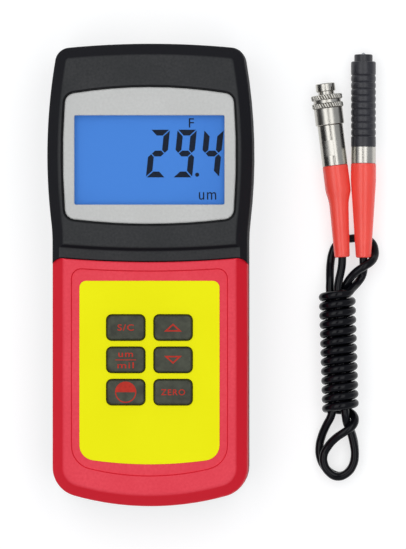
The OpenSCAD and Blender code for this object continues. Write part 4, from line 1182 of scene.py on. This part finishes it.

# Knurled nickel: bright on the teeth, with painted shade in the valleys, a brown grey.
knurled, tree, shader = new_finish("knurled_nickel_plate")
place = add_node(tree, "ShaderNodeTexCoord")
rub = add_node(
    tree, "ShaderNodeTexNoise",
    [("Vector", place.outputs["Object"]), ("Scale", scale_of(4.17)), ("Detail", 5.0)],
)
shade = add_node(tree, "ShaderNodeValToRGB", [("Fac", rub.outputs["Fac"])])
shade.color_ramp.elements[0].color = from_hex(NICKEL_LOW)
shade.color_ramp.elements[1].color = from_hex(NICKEL_HIGH)
# The valley mark mixes in a darker grey: painted shade between the teeth.
depth = add_node(tree, "ShaderNodeAttribute", attribute_name="valley")
valley_shade_mix = add_node(
    tree, "ShaderNodeMix",
    [("Factor", depth.outputs["Fac"]), (6, shade.outputs["Color"]), (7, from_hex("#85827b"))],
    data_type="RGBA",
)
tree.links.new(valley_shade_mix.outputs[2], shader.inputs["Base Color"])
sheen = add_node(
    tree, "ShaderNodeMapRange", [("Value", rub.outputs["Fac"]), ("To Min", 0.24), ("To Max", 0.36)],
)
tree.links.new(sheen.outputs["Result"], shader.inputs["Roughness"])
shader.inputs["Metallic"].default_value = 1.0
ring_piece.data.materials.clear()
ring_piece.data.materials.append(knurled)
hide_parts("coupling_ring")

# The plug's boot: the same soft red PVC, a skirt over the sleeve's end and a long thin tail that
# bends a little towards the lead.
tail_profile = [
    (1.5, -29.5), (1.5, -31.7), (1.8, -32.07), (2.3, -32.12), (2.62, -31.9), (2.73, -31.4), (3.0, -24.0),
    (3.3, -15.5), (3.45, -13.2), (3.72, -11.7), (4.2, -9.85), (4.38, -9.0), (4.45, -8.0), (4.45, -0.35),
    (4.36, -0.05), (4.2, 0.0), (3.3, 0.0), (3.3, -6.2), (1.5, -6.2), (1.5, -29.5),
]
plug_boot = turned("plug_red_boot", tail_profile, Matrix.Identity(4), soft_red, "handset")
to_bend = Matrix.Translation((0, 0, TAIL_BEND * MM))
bend = to_bend.inverted() @ Matrix.Rotation(PLUG_YAW - TAIL_YAW, 4, "Y") @ to_bend
for vert in plug_boot.data.vertices:
    if vert.co.z < -TAIL_BEND * MM:
        vert.co = bend @ vert.co
plug_boot.data.transform(in_plug)
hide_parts("plug_boot")

# The small metal: the sensor's hard steel tip and core, the socket in the top end, the screws
# and the battery's plates and springs.
# Zinc-plated steel: a cool grey metal with a fine spangle.
steel, tree, shader = new_finish("zinc_plated_steel")
spangle = mottled(tree, shader, 1.43, "#a9abb0", "#c3c5ca", 4.0)
sheen = add_node(
    tree, "ShaderNodeMapRange", [("Value", spangle.outputs["Fac"]), ("To Min", 0.28), ("To Max", 0.42)],
)
tree.links.new(sheen.outputs["Result"], shader.inputs["Roughness"])
shader.inputs["Metallic"].default_value = 1.0
dress(steel, "case_screws", "board_screws", "battery_plates", "battery_springs")
dress(steel, "probe_core", "sensor_tip", "sensor_spring")
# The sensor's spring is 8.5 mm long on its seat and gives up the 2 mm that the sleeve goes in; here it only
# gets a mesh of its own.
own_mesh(frame["nodes"]["sensor_spring"])
dress(nickel, "socket_shell", "socket_nut")

# Gold flash on brass: warm and bright, a little tarnished.
gold, tree, shader = new_finish("gold_flashed_brass")
mottled(tree, shader, 1.25, "#c9a347", "#e2c069")
shader.inputs["Metallic"].default_value = 1.0
shader.inputs["Roughness"].default_value = 0.28
dress(gold, "socket_pins", "plug_contacts")

# Enamelled copper wire: red brown, in fine bands. Such coils have wire of about 0.1 mm, drawn here as
# bands of 0.35 mm so that they show. A wave node's bands come pi / 10 of its unit apart.
copper, tree, shader = new_finish("enamelled_copper_wire")
place = add_node(tree, "ShaderNodeTexCoord")
layers = add_node(
    tree, "ShaderNodeTexWave",
    [("Vector", place.outputs["Object"]), ("Scale", scale_of(0.35) * math.pi / 10)], bands_direction="Y",
)
shade = add_node(tree, "ShaderNodeValToRGB", [("Fac", layers.outputs["Fac"])])
shade.color_ramp.elements[0].color = from_hex("#7d3d17")
shade.color_ramp.elements[1].color = from_hex("#c87a3f")
tree.links.new(shade.outputs["Color"], shader.inputs["Base Color"])
shader.inputs["Metallic"].default_value = 1.0
shader.inputs["Roughness"].default_value = 0.35
dress(copper, "sensor_coil")

# The inner plastics and the board: the black tray and inserts, the white backlight, the rubber
# strips and mat, the green board and the plain grey wrap of the four cells.
# Matt black plastic and rubber: dark and even, with a dull grain.
inner, tree, shader = new_finish("black_matt_plastic")
case_grain(tree, shader, "#151517", "#1e1e21", "#151517", 0.08, 0.6)
dress(inner, "display_tray", "socket_insert", "plug_insert", "contact_strips", "keypad_mat")

# Diffusing acrylic: an even white.
diffuser, tree, shader = new_finish("white_diffuser_acrylic")
case_grain(tree, shader, "#e6ebef", "#f0f4f6", "#e6ebef", 0.03, 0.4)
dress(diffuser, "backlight")

# Solder mask: a smooth green lacquer.
solder_mask, tree, shader = new_finish("green_solder_mask")
case_grain(tree, shader, "#1a5c33", "#237241", "#1a5c33", 0.05, 0.35)
dress(solder_mask, "main_board")

# Shrunk film: plain grey with a soft gloss.
cell_film, tree, shader = new_finish("grey_cell_film")
case_grain(tree, shader, "#4d5963", "#65727d", "#4d5963", 0.03, 0.3)
dress(cell_film, "cell_1", "cell_2", "cell_3", "cell_4")

# The size: the box of what shows now.
low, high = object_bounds()
